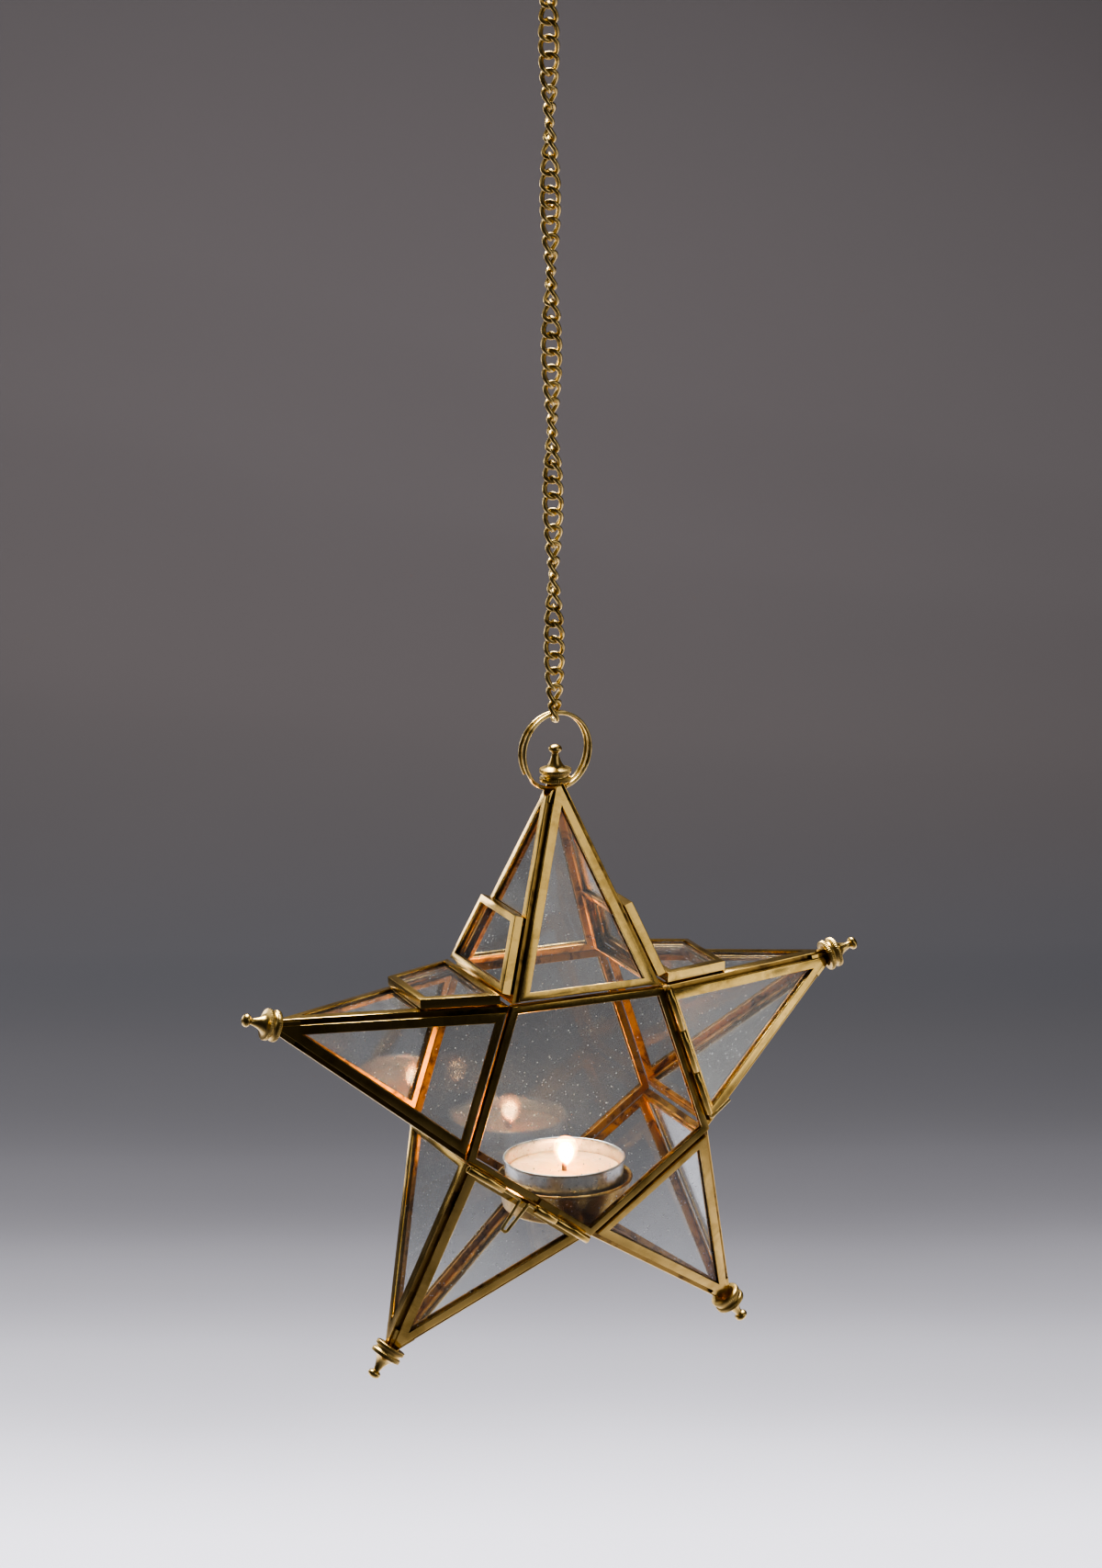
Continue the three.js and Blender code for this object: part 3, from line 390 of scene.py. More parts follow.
# Painted shade: the outer walls of the arms' panels, which meet in the grooves between panels, are darker
# brass standing in for the shade in those grooves
groove_shade_brass = brass_material(
    "seam_painted_shade", bright=(0.4, 0.26, 0.09), dull=(0.12, 0.07, 0.03), rough=(0.28, 0.45),
    patch=90.0, grain=900.0, bump=0.02,
)
turned_brass = brass_material(
    "turned_brass", bright=(0.68, 0.5, 0.21), dull=UMBER, rough=(0.26, 0.38),
    patch=160.0, grain=1200.0, bump=0.03,
)
wire_brass = brass_material(
    "drawn_brass_wire", bright=(0.84, 0.64, 0.29), dull=UMBER, rough=(0.27, 0.4),
    patch=220.0, grain=1500.0, bump=0.02,
)
cup_brass = brass_material(
    "pressed_cup_brass", bright=(0.6, 0.4, 0.15), dull=(0.32, 0.19, 0.07), rough=(0.24, 0.4),
    patch=110.0, grain=1000.0, bump=0.03,
)
glass = glass_material()
foil = foil_material()
wax = wax_material()
wick = wick_material()


# Angles in degrees up to which neighbouring faces are shaded as one
CAME_SMOOTH = 38.0
FINIAL_SMOOTH = 50.0
WIRE_SMOOTH = 60.0
TUBE_SMOOTH = 45.0
CUP_SMOOTH = 40.0
WICK_SMOOTH = 50.0


# Mesh helpers: points in millimetres, objects in metres
def make(name, shell, materials, body, nodes=(), smooth=CAME_SMOOTH):
    """Makes a shell into a piece that rides on a body in place of the named solids."""
    mesh = bpy.data.meshes.new(name)
    mesh.from_pydata([p * MM for p in shell.points], [], shell.faces)
    mesh.polygons.foreach_set("material_index", shell.finishes)
    work = bmesh.new()
    work.from_mesh(mesh)
    bmesh.ops.remove_doubles(work, verts=work.verts, dist=1e-7)
    bmesh.ops.recalc_face_normals(work, faces=work.faces)
    work.to_mesh(mesh)
    work.free()
    mesh.shade_smooth()
    mesh.set_sharp_from_angle(angle=math.radians(smooth))
    for material in materials:
        mesh.materials.append(material)
    piece = bpy.data.objects.new(name, mesh)
    bpy.context.scene.collection.objects.link(piece)
    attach(piece, body)
    if nodes:
        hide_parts(*nodes)
    return piece


PLAIN, INNER, GROOVE = range(3)  # finishes of the came: plain, inward faces with painted shade and candlelight, groove walls with painted shade


class Shell:
    """Gathers closed shells into one mesh. Each face has the number of its finish."""

    def __init__(self):
        self.points = []
        self.faces = []
        self.finishes = []

    def add(self, points, faces, place=None, finishes=None):
        start = len(self.points)
        for point in points:
            self.points.append(place @ Vector(point) if place else Vector(point))
        self.faces += [[start + i for i in face] for face in faces]
        self.finishes += finishes or [0] * len(faces)

    def add_came(self, place, outline, lips=None, leans=None, wall=PLAIN):
        points, faces, finishes = came_ring(outline, lips, leans, wall)
        self.add(points, faces, place, finishes)


def ring_faces(rows, count, closed_rows):
    """Quads between rows of count points each; the rows close on themselves if asked."""
    faces = []
    for row in range(rows if closed_rows else rows - 1):
        after = (row + 1) % rows
        for i in range(count):
            j = (i + 1) % count
            faces.append([row * count + i, row * count + j, after * count + j, after * count + i])
    return faces


def sweep(path, radius, sides, closed=False):
    """A round wire along a list of points, with flat ends where it is open."""
    path = [Vector(p) for p in path]
    count = len(path)
    tangents = []
    for i in range(count):
        before = path[i - 1] if closed or i else path[i]
        after = path[(i + 1) % count] if closed or i < count - 1 else path[i]
        tangents.append((after - before).normalized())
    normal = tangents[0].orthogonal().normalized()
    points = []
    for i in range(count):
        normal = (normal - tangents[i] * normal.dot(tangents[i])).normalized()
        other = tangents[i].cross(normal)
        for j in range(sides):
            angle = 2 * math.pi * j / sides
            points.append(path[i] + normal * radius * math.cos(angle) + other * radius * math.sin(angle))
    faces = ring_faces(count, sides, False)
    if closed:
        last = (count - 1) * sides
        gaps = [(points[j] - points[last]).length for j in range(sides)]
        turn = gaps.index(min(gaps))
        for j in range(sides):
            k = (j + 1) % sides
            faces.append([last + j, last + k, (k + turn) % sides, (j + turn) % sides])
    else:
        faces.append(list(range(sides))[::-1])
        faces.append([(count - 1) * sides + j for j in range(sides)])
    return points, faces


def lathe(profile, segments, flute=None):
    """A turned piece about Z from (radius, height) points.

    flute(radius, height, angle) may shift the radius.
    """
    points = []
    faces = []
    rows = []
    for radius, height in profile:
        if radius == 0:
            rows.append([len(points)])
            points.append(Vector((0, 0, height)))
            continue
        row = []
        for i in range(segments):
            angle = 2 * math.pi * i / segments
            reach = radius + (flute(radius, height, angle) if flute else 0.0)
            row.append(len(points))
            points.append(Vector((reach * math.cos(angle), reach * math.sin(angle), height)))
        rows.append(row)
    for low, high in zip(rows, rows[1:]):
        for i in range(segments):
            j = (i + 1) % segments
            if len(low) == 1 and len(high) == 1:
                continue
            if len(low) == 1:
                faces.append([low[0], high[j], high[i]])
            elif len(high) == 1:
                faces.append([low[i], low[j], high[0]])
            else:
                faces.append([low[i], low[j], high[j], high[i]])
    return points, faces


def arc(centre, radius, start, end, steps, flatten=1.0):
    """Points of an arc in (radius, height) terms, angles in degrees."""
    points = []
    for i in range(steps + 1):
        angle = math.radians(start + (end - start) * i / steps)
        points.append((centre[0] + radius * math.cos(angle), centre[1] + flatten * radius * math.sin(angle)))
    return points


def inset(outline, distances):
    """Moves each edge of a convex anticlockwise outline inwards by its own distance."""
    lines = []
    for i, point in enumerate(outline):
        along = (outline[(i + 1) % len(outline)] - point).normalized()
        lines.append((point + Vector((-along.y, along.x)) * distances[i], along))
    corners = []
    for i, (point, along) in enumerate(lines):
        last_point, last_along = lines[i - 1]
        apart = point - last_point
        run = apart.cross(along) / last_along.cross(along)
        corners.append(last_point + last_along * run)
    return corners


def came_ring(outline, lips, leans, wall):
    """A closed frame of square-edged came channel over an outline. A wall leans in by its own slope."""
    lips = lips or [CAME_LIP] * len(outline)
    leans = leans or [0.0] * len(outline)
    deep = CAME_THICKNESS
    flange = (CAME_THICKNESS - GLASS_THICKNESS) / 2 - CLEARANCE
    soft = 0.32  # radius of the outer edge
    bevel = 0.3 * soft
    fold = 0.12  # radius of the other edges
    rim = -CAME_SLOPE

    def outer(depth, extra=0.0):
        return [lean * depth + extra for lean in leans]

    def inner(extra=0.0):
        return [lip + extra for lip in lips]

    groove = [min(CAME_WALL, 0.6 * lip) for lip in lips]
    rows = [
        (outer(soft), rim - soft),
        (outer(bevel, bevel), rim - bevel),
        (outer(0.0, soft), rim),
        (inner(-fold), 0.0),
        (inner(), -fold),
        (inner(), -flange),
        (groove, -flange),
        (groove, -deep + flange),
        (inner(), -deep + flange),
        (inner(), -deep + fold),
        (inner(-fold), -deep),
        (outer(deep, fold), -deep),
        (outer(deep), -deep + fold),
    ]
    # The inward faces take the painted inner shade; the outer wall takes the given finish, the painted
    # groove shade on the arms
    finish_of_rows = [PLAIN] * 6 + [INNER] * 6 + [wall]
    points = []
    finishes = []
    for (distances, height), finish in zip(rows, finish_of_rows):
        for corner in inset(outline, distances):
            points.append(Vector((corner.x, corner.y, height)))
            finishes.append(finish)
    return points, ring_faces(len(rows), len(outline), True), finishes


# The faces of an arm, as in the solids
def face_of(side):
    offset = DEPTH / 2
    across = Vector((1, 0, 0))
    up = Vector((0, offset / SLOPE, ARM_HEIGHT / SLOPE))
    out = across.cross(up)
    place = Matrix((across, up, out)).transposed().to_4x4()
    place.translation = (0, -offset, APOTHEM)
    return Matrix.Rotation(side * math.pi / 2, 4, "Z") @ place


def half_width(height):
    return SIDE / 2 * (1 - height / SLOPE)


def pointed(low):
    return [Vector((-half_width(low), low)), Vector((half_width(low), low)), Vector((0, SLOPE))]


def band(low, high):
    return pointed(low)[:2] + [Vector((half_width(high), high)), Vector((-half_width(high), high))]


def facing(arm, side):
    return ARMS[(arm + (1 if side == 1 else len(ARMS) - 1)) % len(ARMS)]


def is_vented(arm, side):
    return side % 2 == 1 and (ARMS[arm] == "top" or facing(arm, side) == "top")


STAR = Matrix.Translation((0, 0, STAR_CENTRE))
CAME_FINISHES = (came_brass, inner_shade_brass, groove_shade_brass)
BAR_BACK = 0.4  # width of the closed back of the bar behind a vent


def arm_place(arm):
    return STAR @ Matrix.Rotation(math.radians(SECTOR * arm), 4, "Y")


def core_shell():
    """The solid point inside the came at the end of an arm."""
    setback = 2.2  # inside the panels
    bite = 1.0  # into the finial
    rows = []
    for height in (TIP_RADIUS - TIP_SOLID, FINIAL_BASE + bite):
        half = (TIP_RADIUS - setback - height) * SIDE / 2 / ARM_HEIGHT
        rows += [Vector((x * half, y * half, height)) for x, y in ((-1, -1), (1, -1), (1, 1), (-1, 1))]
    return rows, ring_faces(2, 4, False) + [[3, 2, 1, 0], [4, 5, 6, 7]]


def build_arm(arm):
    name = ARMS[arm]
    shell = Shell()
    shell.add(*core_shell(), arm_place(arm))
    for side in range(4):
        place = arm_place(arm) @ face_of(side)
        edges = [EDGE_SETBACK, EDGE_SETBACK]
        lips = [CAME_LIP, EDGE_LIP, EDGE_LIP]
        if is_vented(arm, side):
            bar = LID_LENGTH - CAME_LIP
            vent = inset(band(0, bar), [CLEARANCE, EDGE_SETBACK, 0, EDGE_SETBACK])
            vent_lips = [CAME_LIP, EDGE_LIP, BAR_BACK, EDGE_LIP]
            shell.add_came(place, vent, vent_lips, [BASE_LEAN, 0, 0, 0], GROOVE)
            shell.add_came(place, inset(pointed(bar), [0] + edges), lips, None, GROOVE)
            build_lid(arm, side, place)
        elif side % 2:
            shell.add_came(place, inset(pointed(0), [CLEARANCE] + edges), lips, [BASE_LEAN, 0, 0], GROOVE)
        else:
            shell.add_came(place, inset(pointed(0), [FOOT] + edges), lips, None, GROOVE)
    piece = make(name + "_arm_came", shell, CAME_FINISHES, "lantern", [name + "_arm_frame"])
    if name == "top":
        drill_for_ring(piece)


def drill_for_ring(piece):
    """Cuts the cross hole for the split ring through the point of the top arm."""
    radius = 2.1
    rise = 0.35
    half = 6  # half the length of the drill
    points, faces = lathe([(0, -half), (radius, -half), (radius, half), (0, half)], DRILL_SIDES)
    turn = Matrix.Rotation(math.radians(RING_TURN), 4, "Z") @ Matrix.Rotation(math.pi / 2, 4, "Y")
    place = STAR @ Matrix.Translation((0, 0, RING_HOLE + rise)) @ turn
    mesh = bpy.data.meshes.new("ring_drill")
    mesh.from_pydata([place @ p * MM for p in points], [], faces)
    drill = bpy.data.objects.new("ring_drill", mesh)
    bpy.context.scene.collection.objects.link(drill)
    cut = piece.modifiers.new("ring_hole", "BOOLEAN")
    cut.operation = "DIFFERENCE"
    cut.solver = "EXACT"
    cut.use_self = True
    cut.object = drill
    drilled = bpy.data.meshes.new_from_object(piece.evaluated_get(bpy.context.evaluated_depsgraph_get()))
    piece.modifiers.clear()
    drilled.name = piece.data.name + "_drilled"
    piece.data = drilled
    bpy.data.objects.remove(drill)


def build_lid(arm, side, place):
    half_valley = math.radians(90 + SECTOR / 2) - math.atan2(ARM_HEIGHT, SIDE / 2)
    start = (CAME_THICKNESS + CLEARANCE) / math.tan(half_valley) + CLEARANCE
    outline = inset(band(start, LID_LENGTH), [0, EDGE_INSET, 0, EDGE_INSET])
    lift = Matrix.Translation((0, 0, CAME_THICKNESS + CLEARANCE))
    shell = Shell()
    shell.add_came(place @ lift, outline)
    name = ARMS[arm] + "_arm_vent_by_" + facing(arm, side)
    make(name + "_came", shell, CAME_FINISHES, "lantern", [name + "_frame"])


def build_chamber_panel(name, body, turn):
    outline = []
    for i in range(len(ARMS)):
        angle = math.radians(SECTOR * i - 90)
        outline.append(Vector((PANEL_RADIUS * math.cos(angle), PANEL_RADIUS * math.sin(angle))))
    place = STAR @ turn @ Matrix.Translation((0, -DEPTH / 2, 0)) @ Matrix.Rotation(math.pi / 2, 4, "X")
    shell = Shell()
    shell.add_came(place, outline)
    make(name + "_came", shell, CAME_FINISHES, body, [name + "_frame"])


for index in range(len(ARMS)):
    build_arm(index)
build_chamber_panel("door", "door", Matrix.Identity(4))
build_chamber_panel("back", "lantern", Matrix.Rotation(math.pi, 4, "Z"))


# Finials with milled flanges
def finial_profile():
    rim = FLANGE_RADIUS
    points = [(0, 3.1), (1.7, 3.1), (3.3, 0.0), (rim - 0.35, 0.0)]
    points += [(rim - 0.1, 0.1), (rim, 0.3), (rim, 1.05), (rim - 0.1, 1.3), (rim - 0.4, 1.42)]
    points += [(rim - 0.65, 1.6), (rim - 0.75, 2.0), (rim - 0.65, 2.4), (rim - 0.4, 2.58)]
    points += [(rim - 0.1, 2.7), (rim, 2.95), (rim, 3.65), (rim - 0.15, 3.88), (rim - 0.6, 4.02)]
    points += [(3.6, 4.15), (2.9, 4.55), (2.4, 5.05), (2.0, 5.7), (1.65, 6.4), (1.35, 7.2), (1.15, 8.0)]
    points += [(1.05, 8.6), (1.1, 8.8)]
    points += arc((0.0, 10.06), 2.05, -57, 84, steps=16, flatten=0.68) + [(0, 11.46)]
    return points


def milled(radius, height, angle):
    """Fine grooves across the rims of both flanges."""
    edge = 0.12
    upper_flange_top = 3.8
    if radius < FLANGE_RADIUS - edge or height > upper_flange_top:
        return 0.0
    return -MILLING_DEPTH * (0.5 + 0.5 * math.cos(MILLING_RIDGES * angle))


def build_finials():
    points, faces = lathe(finial_profile(), 3 * MILLING_RIDGES, milled)
    for arm, name in enumerate(ARMS):
        shell = Shell()
        shell.add(points, faces, arm_place(arm) @ Matrix.Translation((0, 0, FINIAL_BASE)))
        piece = name + "_finial_turned"
        make(piece, shell, [turned_brass], "lantern", [name + "_finial"], FINIAL_SMOOTH)


build_finials()


# Hook, chain and split ring
def build_hook():
    path = []
    crook = HOOK_WIRE / 2 - HOOK_CROOK
    eye = crook - HOOK_CROOK - HOOK_EYE
    for i in range(HOOK_STEPS + 1):
        angle = math.radians(HOOK_CROOK_START + HOOK_CROOK_TURN * i / HOOK_STEPS)
        path.append((0, HOOK_CROOK * math.cos(angle), crook + HOOK_CROOK * math.sin(angle)))
    for i in range(1, HOOK_STEPS + 1):
        angle = math.radians(90 - HOOK_EYE_TURN * i / HOOK_STEPS)
        path.append((0, HOOK_EYE * math.cos(angle), eye + HOOK_EYE * math.sin(angle)))
    shell = Shell()
    shell.add(*sweep(path, HOOK_WIRE / 2, HOOK_SIDES))
    make("s_hook_wire", shell, [wire_brass], "hook", ["s_hook"], WIRE_SMOOTH)


def link_path(turn):
    """The middle of the wire of one twisted link, about the top of the link."""
    height = LINK_PITCH + LINK_WIRE - LINK_FUSE
    straight = height / 2 - LINK_BEND
    spread = 4  # how soon the straight sides begin
    path = []
    for i in range(LINK_STEPS):
        around = 2 * math.pi * i / LINK_STEPS
        rise = LINK_BEND * math.sin(around) + straight * max(-1.0, min(1.0, spread * math.sin(around)))
        across = LINK_BEND * math.cos(around)
        twist = math.radians(90 * (0.5 - rise / height) + turn)
        path.append((across * math.cos(twist), across * math.sin(twist), rise - height / 2))
    return path


def build_chain():
    for order, name in enumerate(CHAIN_LENGTHS):
        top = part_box(name)[1].z / MM - LINK_WIRE / 2
        shell = Shell()
        for i in range(LINKS_IN_LENGTH):
            turn = (order * LINKS_IN_LENGTH + i) * LINK_TURN
            place = Matrix.Translation((0, 0, top - i * LINK_PITCH))
            shell.add(*sweep(link_path(turn), LINK_WIRE / 2, LINK_SIDES, closed=True), place)
        make(name + "_links", shell, [wire_brass], name + "_length", [name], WIRE_SMOOTH)


def build_ring():
    path = []
    for i in range(RING_STEPS + 1):
        swept = RING_LENGTH * i / RING_STEPS
        crossing = max(0.0, min(1.0, (swept - (360 - RING_CROSSING)) / RING_CROSSING))
        crossing = crossing * crossing * (3 - 2 * crossing)
        angle = math.radians(RING_START - swept)
        depth = (0.5 - crossing) * (RING_STEP + RING_SPREAD * abs(math.cos(angle)))
        path.append((RING_RADIUS * math.cos(angle), depth, RING_RADIUS * math.sin(angle)))
    place = Matrix.Translation((0, 0, RING_CENTRE)) @ Matrix.Rotation(math.radians(RING_TURN), 4, "Z")
    shell = Shell()
    shell.add(*sweep(path, RING_WIRE / 2, RING_SIDES), place)
    make("split_ring_wire", shell, [wire_brass], "ring", ["split_ring"], WIRE_SMOOTH)


build_hook()
build_chain()
build_ring()


# Bent wires and tubes of the hinge and the latch
def bent(points, radius):
    """A path of straight runs with round corners."""
    points = [Vector(p) for p in points]
    path = [points[0]]
    for before, corner, after in zip(points, points[1:], points[2:]):
        start = corner + (before - corner).normalized() * radius
        end = corner + (after - corner).normalized() * radius
        for i in range(BEND_STEPS + 1):
            t = i / BEND_STEPS
            path.append(start * (1 - t) ** 2 + corner * (2 * t * (1 - t)) + end * t * t)
    path.append(points[-1])
    return path


def tube(outer, inner, start, length):
    """A tube along X with softened ends."""
    soft = 0.12
    wall = [(inner, soft), (inner + soft, 0), (outer - soft, 0), (outer, soft)]
    profile = wall + [(radius, length - height) for radius, height in reversed(wall)] + wall[:1]
    points, faces = lathe(profile, TUBE_SIDES)
    turn = Matrix.Translation((start, 0, 0)) @ Matrix.Rotation(math.pi / 2, 4, "Y")
    return [turn @ p for p in points], faces


def groove_seat(diameter):
    """Depth and distance from the star's middle of a tube lying in the groove between door and arm."""
    door_edge = Vector((-DEPTH / 2, APOTHEM - CLEARANCE / 2))
    arm_edge = Vector((-DEPTH / 2, APOTHEM)) + Vector((DEPTH / 2, ARM_HEIGHT)) * (FOOT / SLOPE)
    across = arm_edge - door_edge
    out = Vector((-across.y, across.x)).normalized()
    reach = diameter / 2 + CLEARANCE
    return (door_edge + arm_edge) / 2 + out * math.sqrt(reach**2 - across.length_squared / 4)


HINGE_SEAT = groove_seat(HINGE_TUBE)
HINGE_ARM = ARMS.index("right")
HINGE_PLACE = arm_place(HINGE_ARM) @ Matrix.Translation((-SIDE / 2, HINGE_SEAT.x, HINGE_SEAT.y))
HINGE_END = SIDE - HINGE_BARE
HINGE_TUBES = ("hinge_tube_upper", "hinge_tube_door", "hinge_tube_lower")


def build_hinge_tubes():
    length = (HINGE_END - CORNER_GAP - 2 * CLEARANCE) / len(HINGE_TUBES)
    for i, name in enumerate(HINGE_TUBES):
        start = CORNER_GAP + i * (length + CLEARANCE)
        shell = Shell()
        shell.add(*tube(HINGE_TUBE / 2, HINGE_PIN / 2 + CLEARANCE, start, length), HINGE_PLACE)
        body = "door" if name == "hinge_tube_door" else "lantern"
        make(name + "_rolled", shell, [came_brass], body, [name], TUBE_SMOOTH)


def build_hinge_pin():
    """A wire through the three tubes, bent back into a hook at its lower end."""
    foot = HINGE_END + 1.5 * HINGE_PIN
    lean = math.radians(PIN_HOOK_ANGLE)
    hook = (foot - PIN_HOOK * math.cos(lean), 0, PIN_HOOK * math.sin(lean))
    path = bent([(-HINGE_PIN / 2, 0, 0), (foot, 0, 0), hook], HINGE_PIN)
    shell = Shell()
    shell.add(*sweep(path, HINGE_PIN / 2, PIN_SIDES), HINGE_PLACE)
    make("hinge_pin_wire", shell, [wire_brass], "lantern", ["hinge_pin"], WIRE_SMOOTH)


build_hinge_tubes()
build_hinge_pin()

# Places along the latch, from the upper end of its edge
LATCH_SEAT = groove_seat(LATCH_KNUCKLE)
LATCH_ARM = ARMS.index("lower_left")
LATCH_START = Matrix.Translation((SIDE / 2, LATCH_SEAT.x, LATCH_SEAT.y))
LATCH_PLACE = arm_place(LATCH_ARM) @ LATCH_START @ Matrix.Rotation(math.pi, 4, "Y")
LATCH_BORE = LATCH_WIRE / 2 + CLEARANCE
NEAR_LEG = CORNER_GAP + LATCH_GUIDE_LENGTH + CLEARANCE + LATCH_TRAVEL + LATCH_WIRE / 2
FAR_LEG = NEAR_LEG + LATCH_LEGS
KNUCKLE_START = FAR_LEG + LATCH_WIRE / 2 + LATCH_LEAD
KEEPER_START = KNUCKLE_START + LATCH_KNUCKLE_LENGTH + CLEARANCE
KEEPER_LENGTH = SIDE - 2 * CORNER_GAP - KEEPER_START


def build_latch_tube(name, diameter, start, length):
    shell = Shell()
    shell.add(*tube(diameter / 2, LATCH_BORE, start, length), LATCH_PLACE)
    make(name + "_rolled", shell, [came_brass], "lantern", [name], TUBE_SMOOTH)


def build_latch_knuckle():
    """The tube on the door that takes the bolt, with a tab that lies on the door's came."""
    shell = Shell()
    shell.add(*tube(LATCH_KNUCKLE / 2, LATCH_BORE, KNUCKLE_START, LATCH_KNUCKLE_LENGTH), LATCH_PLACE)
    soft = 0.2
    root = 1.0  # where the tab leaves the tube
    reach = LATCH_SEAT.y - APOTHEM + CAME_LIP
    low = -DEPTH / 2 - CLEARANCE - LATCH_SEAT.x
    front = low - LATCH_TAB
    section = ((front, root), (low, root), (low, reach - soft), (low - soft, reach), (front, reach))
    tab = []
    for x in (KNUCKLE_START + soft, KNUCKLE_START + LATCH_KNUCKLE_LENGTH - soft):
        tab += [Vector((x, y, z)) for y, z in section]
    count = len(section)
    sides = [[i, (i + 1) % count, count + (i + 1) % count, count + i] for i in range(count)]
    shell.add(tab, sides + [list(range(count))[::-1], list(range(count, 2 * count))], LATCH_PLACE)
    make("latch_knuckle_rolled", shell, [came_brass], "door", ["latch_knuckle"], TUBE_SMOOTH)


def build_latch_bolt():
    """A wire with a handle bent out of its middle."""
    run = [(CORNER_GAP + LATCH_TRAVEL + CLEARANCE, 0, 0), (NEAR_LEG, 0, 0), (NEAR_LEG, 0, -LATCH_HANDLE)]
    run += [(FAR_LEG, 0, -LATCH_HANDLE), (FAR_LEG + LATCH_FLARE, 0, 0)]
    run += [(KNUCKLE_START + LATCH_TRAVEL - CLEARANCE, 0, 0)]
    shell = Shell()
    shell.add(*sweep(bent(run, LATCH_BEND), LATCH_WIRE / 2, PIN_SIDES), LATCH_PLACE)
    make(
        "latch_bolt_bent", shell, [wire_brass], "latch_bolt_wire", ["latch_bolt"], WIRE_SMOOTH
    )


build_latch_tube("latch_guide_tube", LATCH_GUIDE, CORNER_GAP, LATCH_GUIDE_LENGTH)
build_latch_tube("latch_end_tube", LATCH_KEEPER, KEEPER_START, KEEPER_LENGTH)
build_latch_knuckle()
build_latch_bolt()


# Candle: cup, foil cup, wax, wick and flame
CUP_PLACE = Matrix.Translation((CUP_MIDDLE, 0, CUP_LOW.z))
TEALIGHT_PLACE = CUP_PLACE @ Matrix.Translation((0, 0, CUP_FLOOR))
WAX_TOP = TEALIGHT_HEIGHT - WAX_BELOW_RIM


def build_turned(name, profile, segments, material, body, node, place, flute=None):
    shell = Shell()
    points, faces = lathe(profile, segments, flute)
    shell.add(points, faces, place)
    return make(name, shell, [material], body, [node] if node else [], CUP_SMOOTH)


def build_cup():
    rim = CUP_HEIGHT
    cup = [(0, 0), (16.0, 0), (17.6, 0.08), (18.5, 0.4), (19.05, 0.95), (19.25, 1.6), (20.6, rim - 1.6)]
    cup += [(20.75, rim - 1.3)] + arc((20.7, rim - 0.65), 0.6, -80, 150, steps=8)
    cup += [(19.95, rim - 0.5), (18.45, 1.6), (18.1, 1.0), (17.4, 0.8), (0, 0.8)]
    build_turned(
        "candle_cup_pressed", cup, CUP_SIDES, cup_brass, "lantern", "candle_cup", CUP_PLACE
    )


def pleats(radius, height, angle):
    """Fine upright folds in the wall of the foil cup, below its rolled rim."""
    wall = 17.9
    below_rim = 0.9
    if radius < wall or height > TEALIGHT_HEIGHT - below_rim:
        return 0.0
    return PLEAT_DEPTH * math.cos(PLEATS * angle)


def build_foil_cup():
    top = TEALIGHT_HEIGHT
    cup = [(0, 0), (16.6, 0), (17.4, 0.15), (17.85, 0.6), (18.0, 1.4), (18.25, 6.0), (18.45, 10.0)]
    cup += [(18.62, top - 1.2), (18.75, top - 0.8)] + arc((18.75, top - 0.35), 0.3, -60, 150, steps=8)
    cup += [(18.3, top - 0.6), (18.2, top - 2.5), (17.7, 1.5), (17.2, 0.5), (16.5, 0.4), (0, 0.4)]
    return build_turned(
        "tealight_foil", cup, FOIL_SIDES, foil, "tealight", "tealight_cup", TEALIGHT_PLACE, pleats
    )


def build_wax():
    pool = [(1.1, 0.7), (17.0, 0.7), (17.2, 2.0), (17.5, WAX_TOP + 0.4), (17.3, WAX_TOP + 0.3)]
    pool += [(16.6, WAX_TOP - 0.05), (14.5, WAX_TOP - 0.2), (9.0, WAX_TOP - 0.28), (4.0, WAX_TOP - 0.3)]
    pool += [(1.8, WAX_TOP - 0.25), (1.1, WAX_TOP), (1.1, 0.7)]
    return build_turned("wax_pool", pool, CUP_SIDES, wax, "tealight", "wax", TEALIGHT_PLACE)


def build_wick():
    run = [(0, 0, WICK_FOOT), (0, 0, WAX_TOP + WICK_KNEE), (WICK_LEAN, 0, WAX_TOP + WICK_TIP)]
    shell = Shell()
    shell.add(*sweep(bent(run, WICK_BEND), WICK_RADIUS, WICK_SIDES), TEALIGHT_PLACE)
    make("wick_cord", shell, [wick], "tealight", ["wick"], WICK_SMOOTH)


CORE_STOPS = [
    (0.0, (0.9, 0.35, 0.12)),
    (0.25, (1.0, 0.66, 0.3)),
    (0.5, (1.0, 0.88, 0.62)),
    (1.0, (1.0, 0.78, 0.42)),
]
GLOW_STOPS = [(0.0, (0.8, 0.22, 0.05)), (0.5, (1.0, 0.5, 0.17)), (1.0, (1.0, 0.4, 0.1))]


def flame_shape(name, foot, tip, radius, stops, strength, cover):
    """A rounded drop of fire between two heights above the foot of the tealight."""
    place = TEALIGHT_PLACE @ Matrix.Translation((WICK_LEAN / 2, 0, 0))
    belly = 0.8  # sets how low the drop is widest
    fullness = 2.4  # makes the radius its half width there
    profile = [(0, foot)]
    for i in range(1, FLAME_STEPS):
        t = i / FLAME_STEPS
        profile.append((fullness * radius * t**belly * math.sqrt(1 - t), foot + (tip - foot) * t))
    profile.append((0, tip))
    low = (place @ Vector((0, 0, foot))).z
    high = (place @ Vector((0, 0, tip))).z
    material = flame_material("candle_" + name, low, high, stops, strength, cover)
    piece = build_turned(name, profile, FLAME_SIDES, material, "tealight", None, place)
    piece.visible_shadow = False


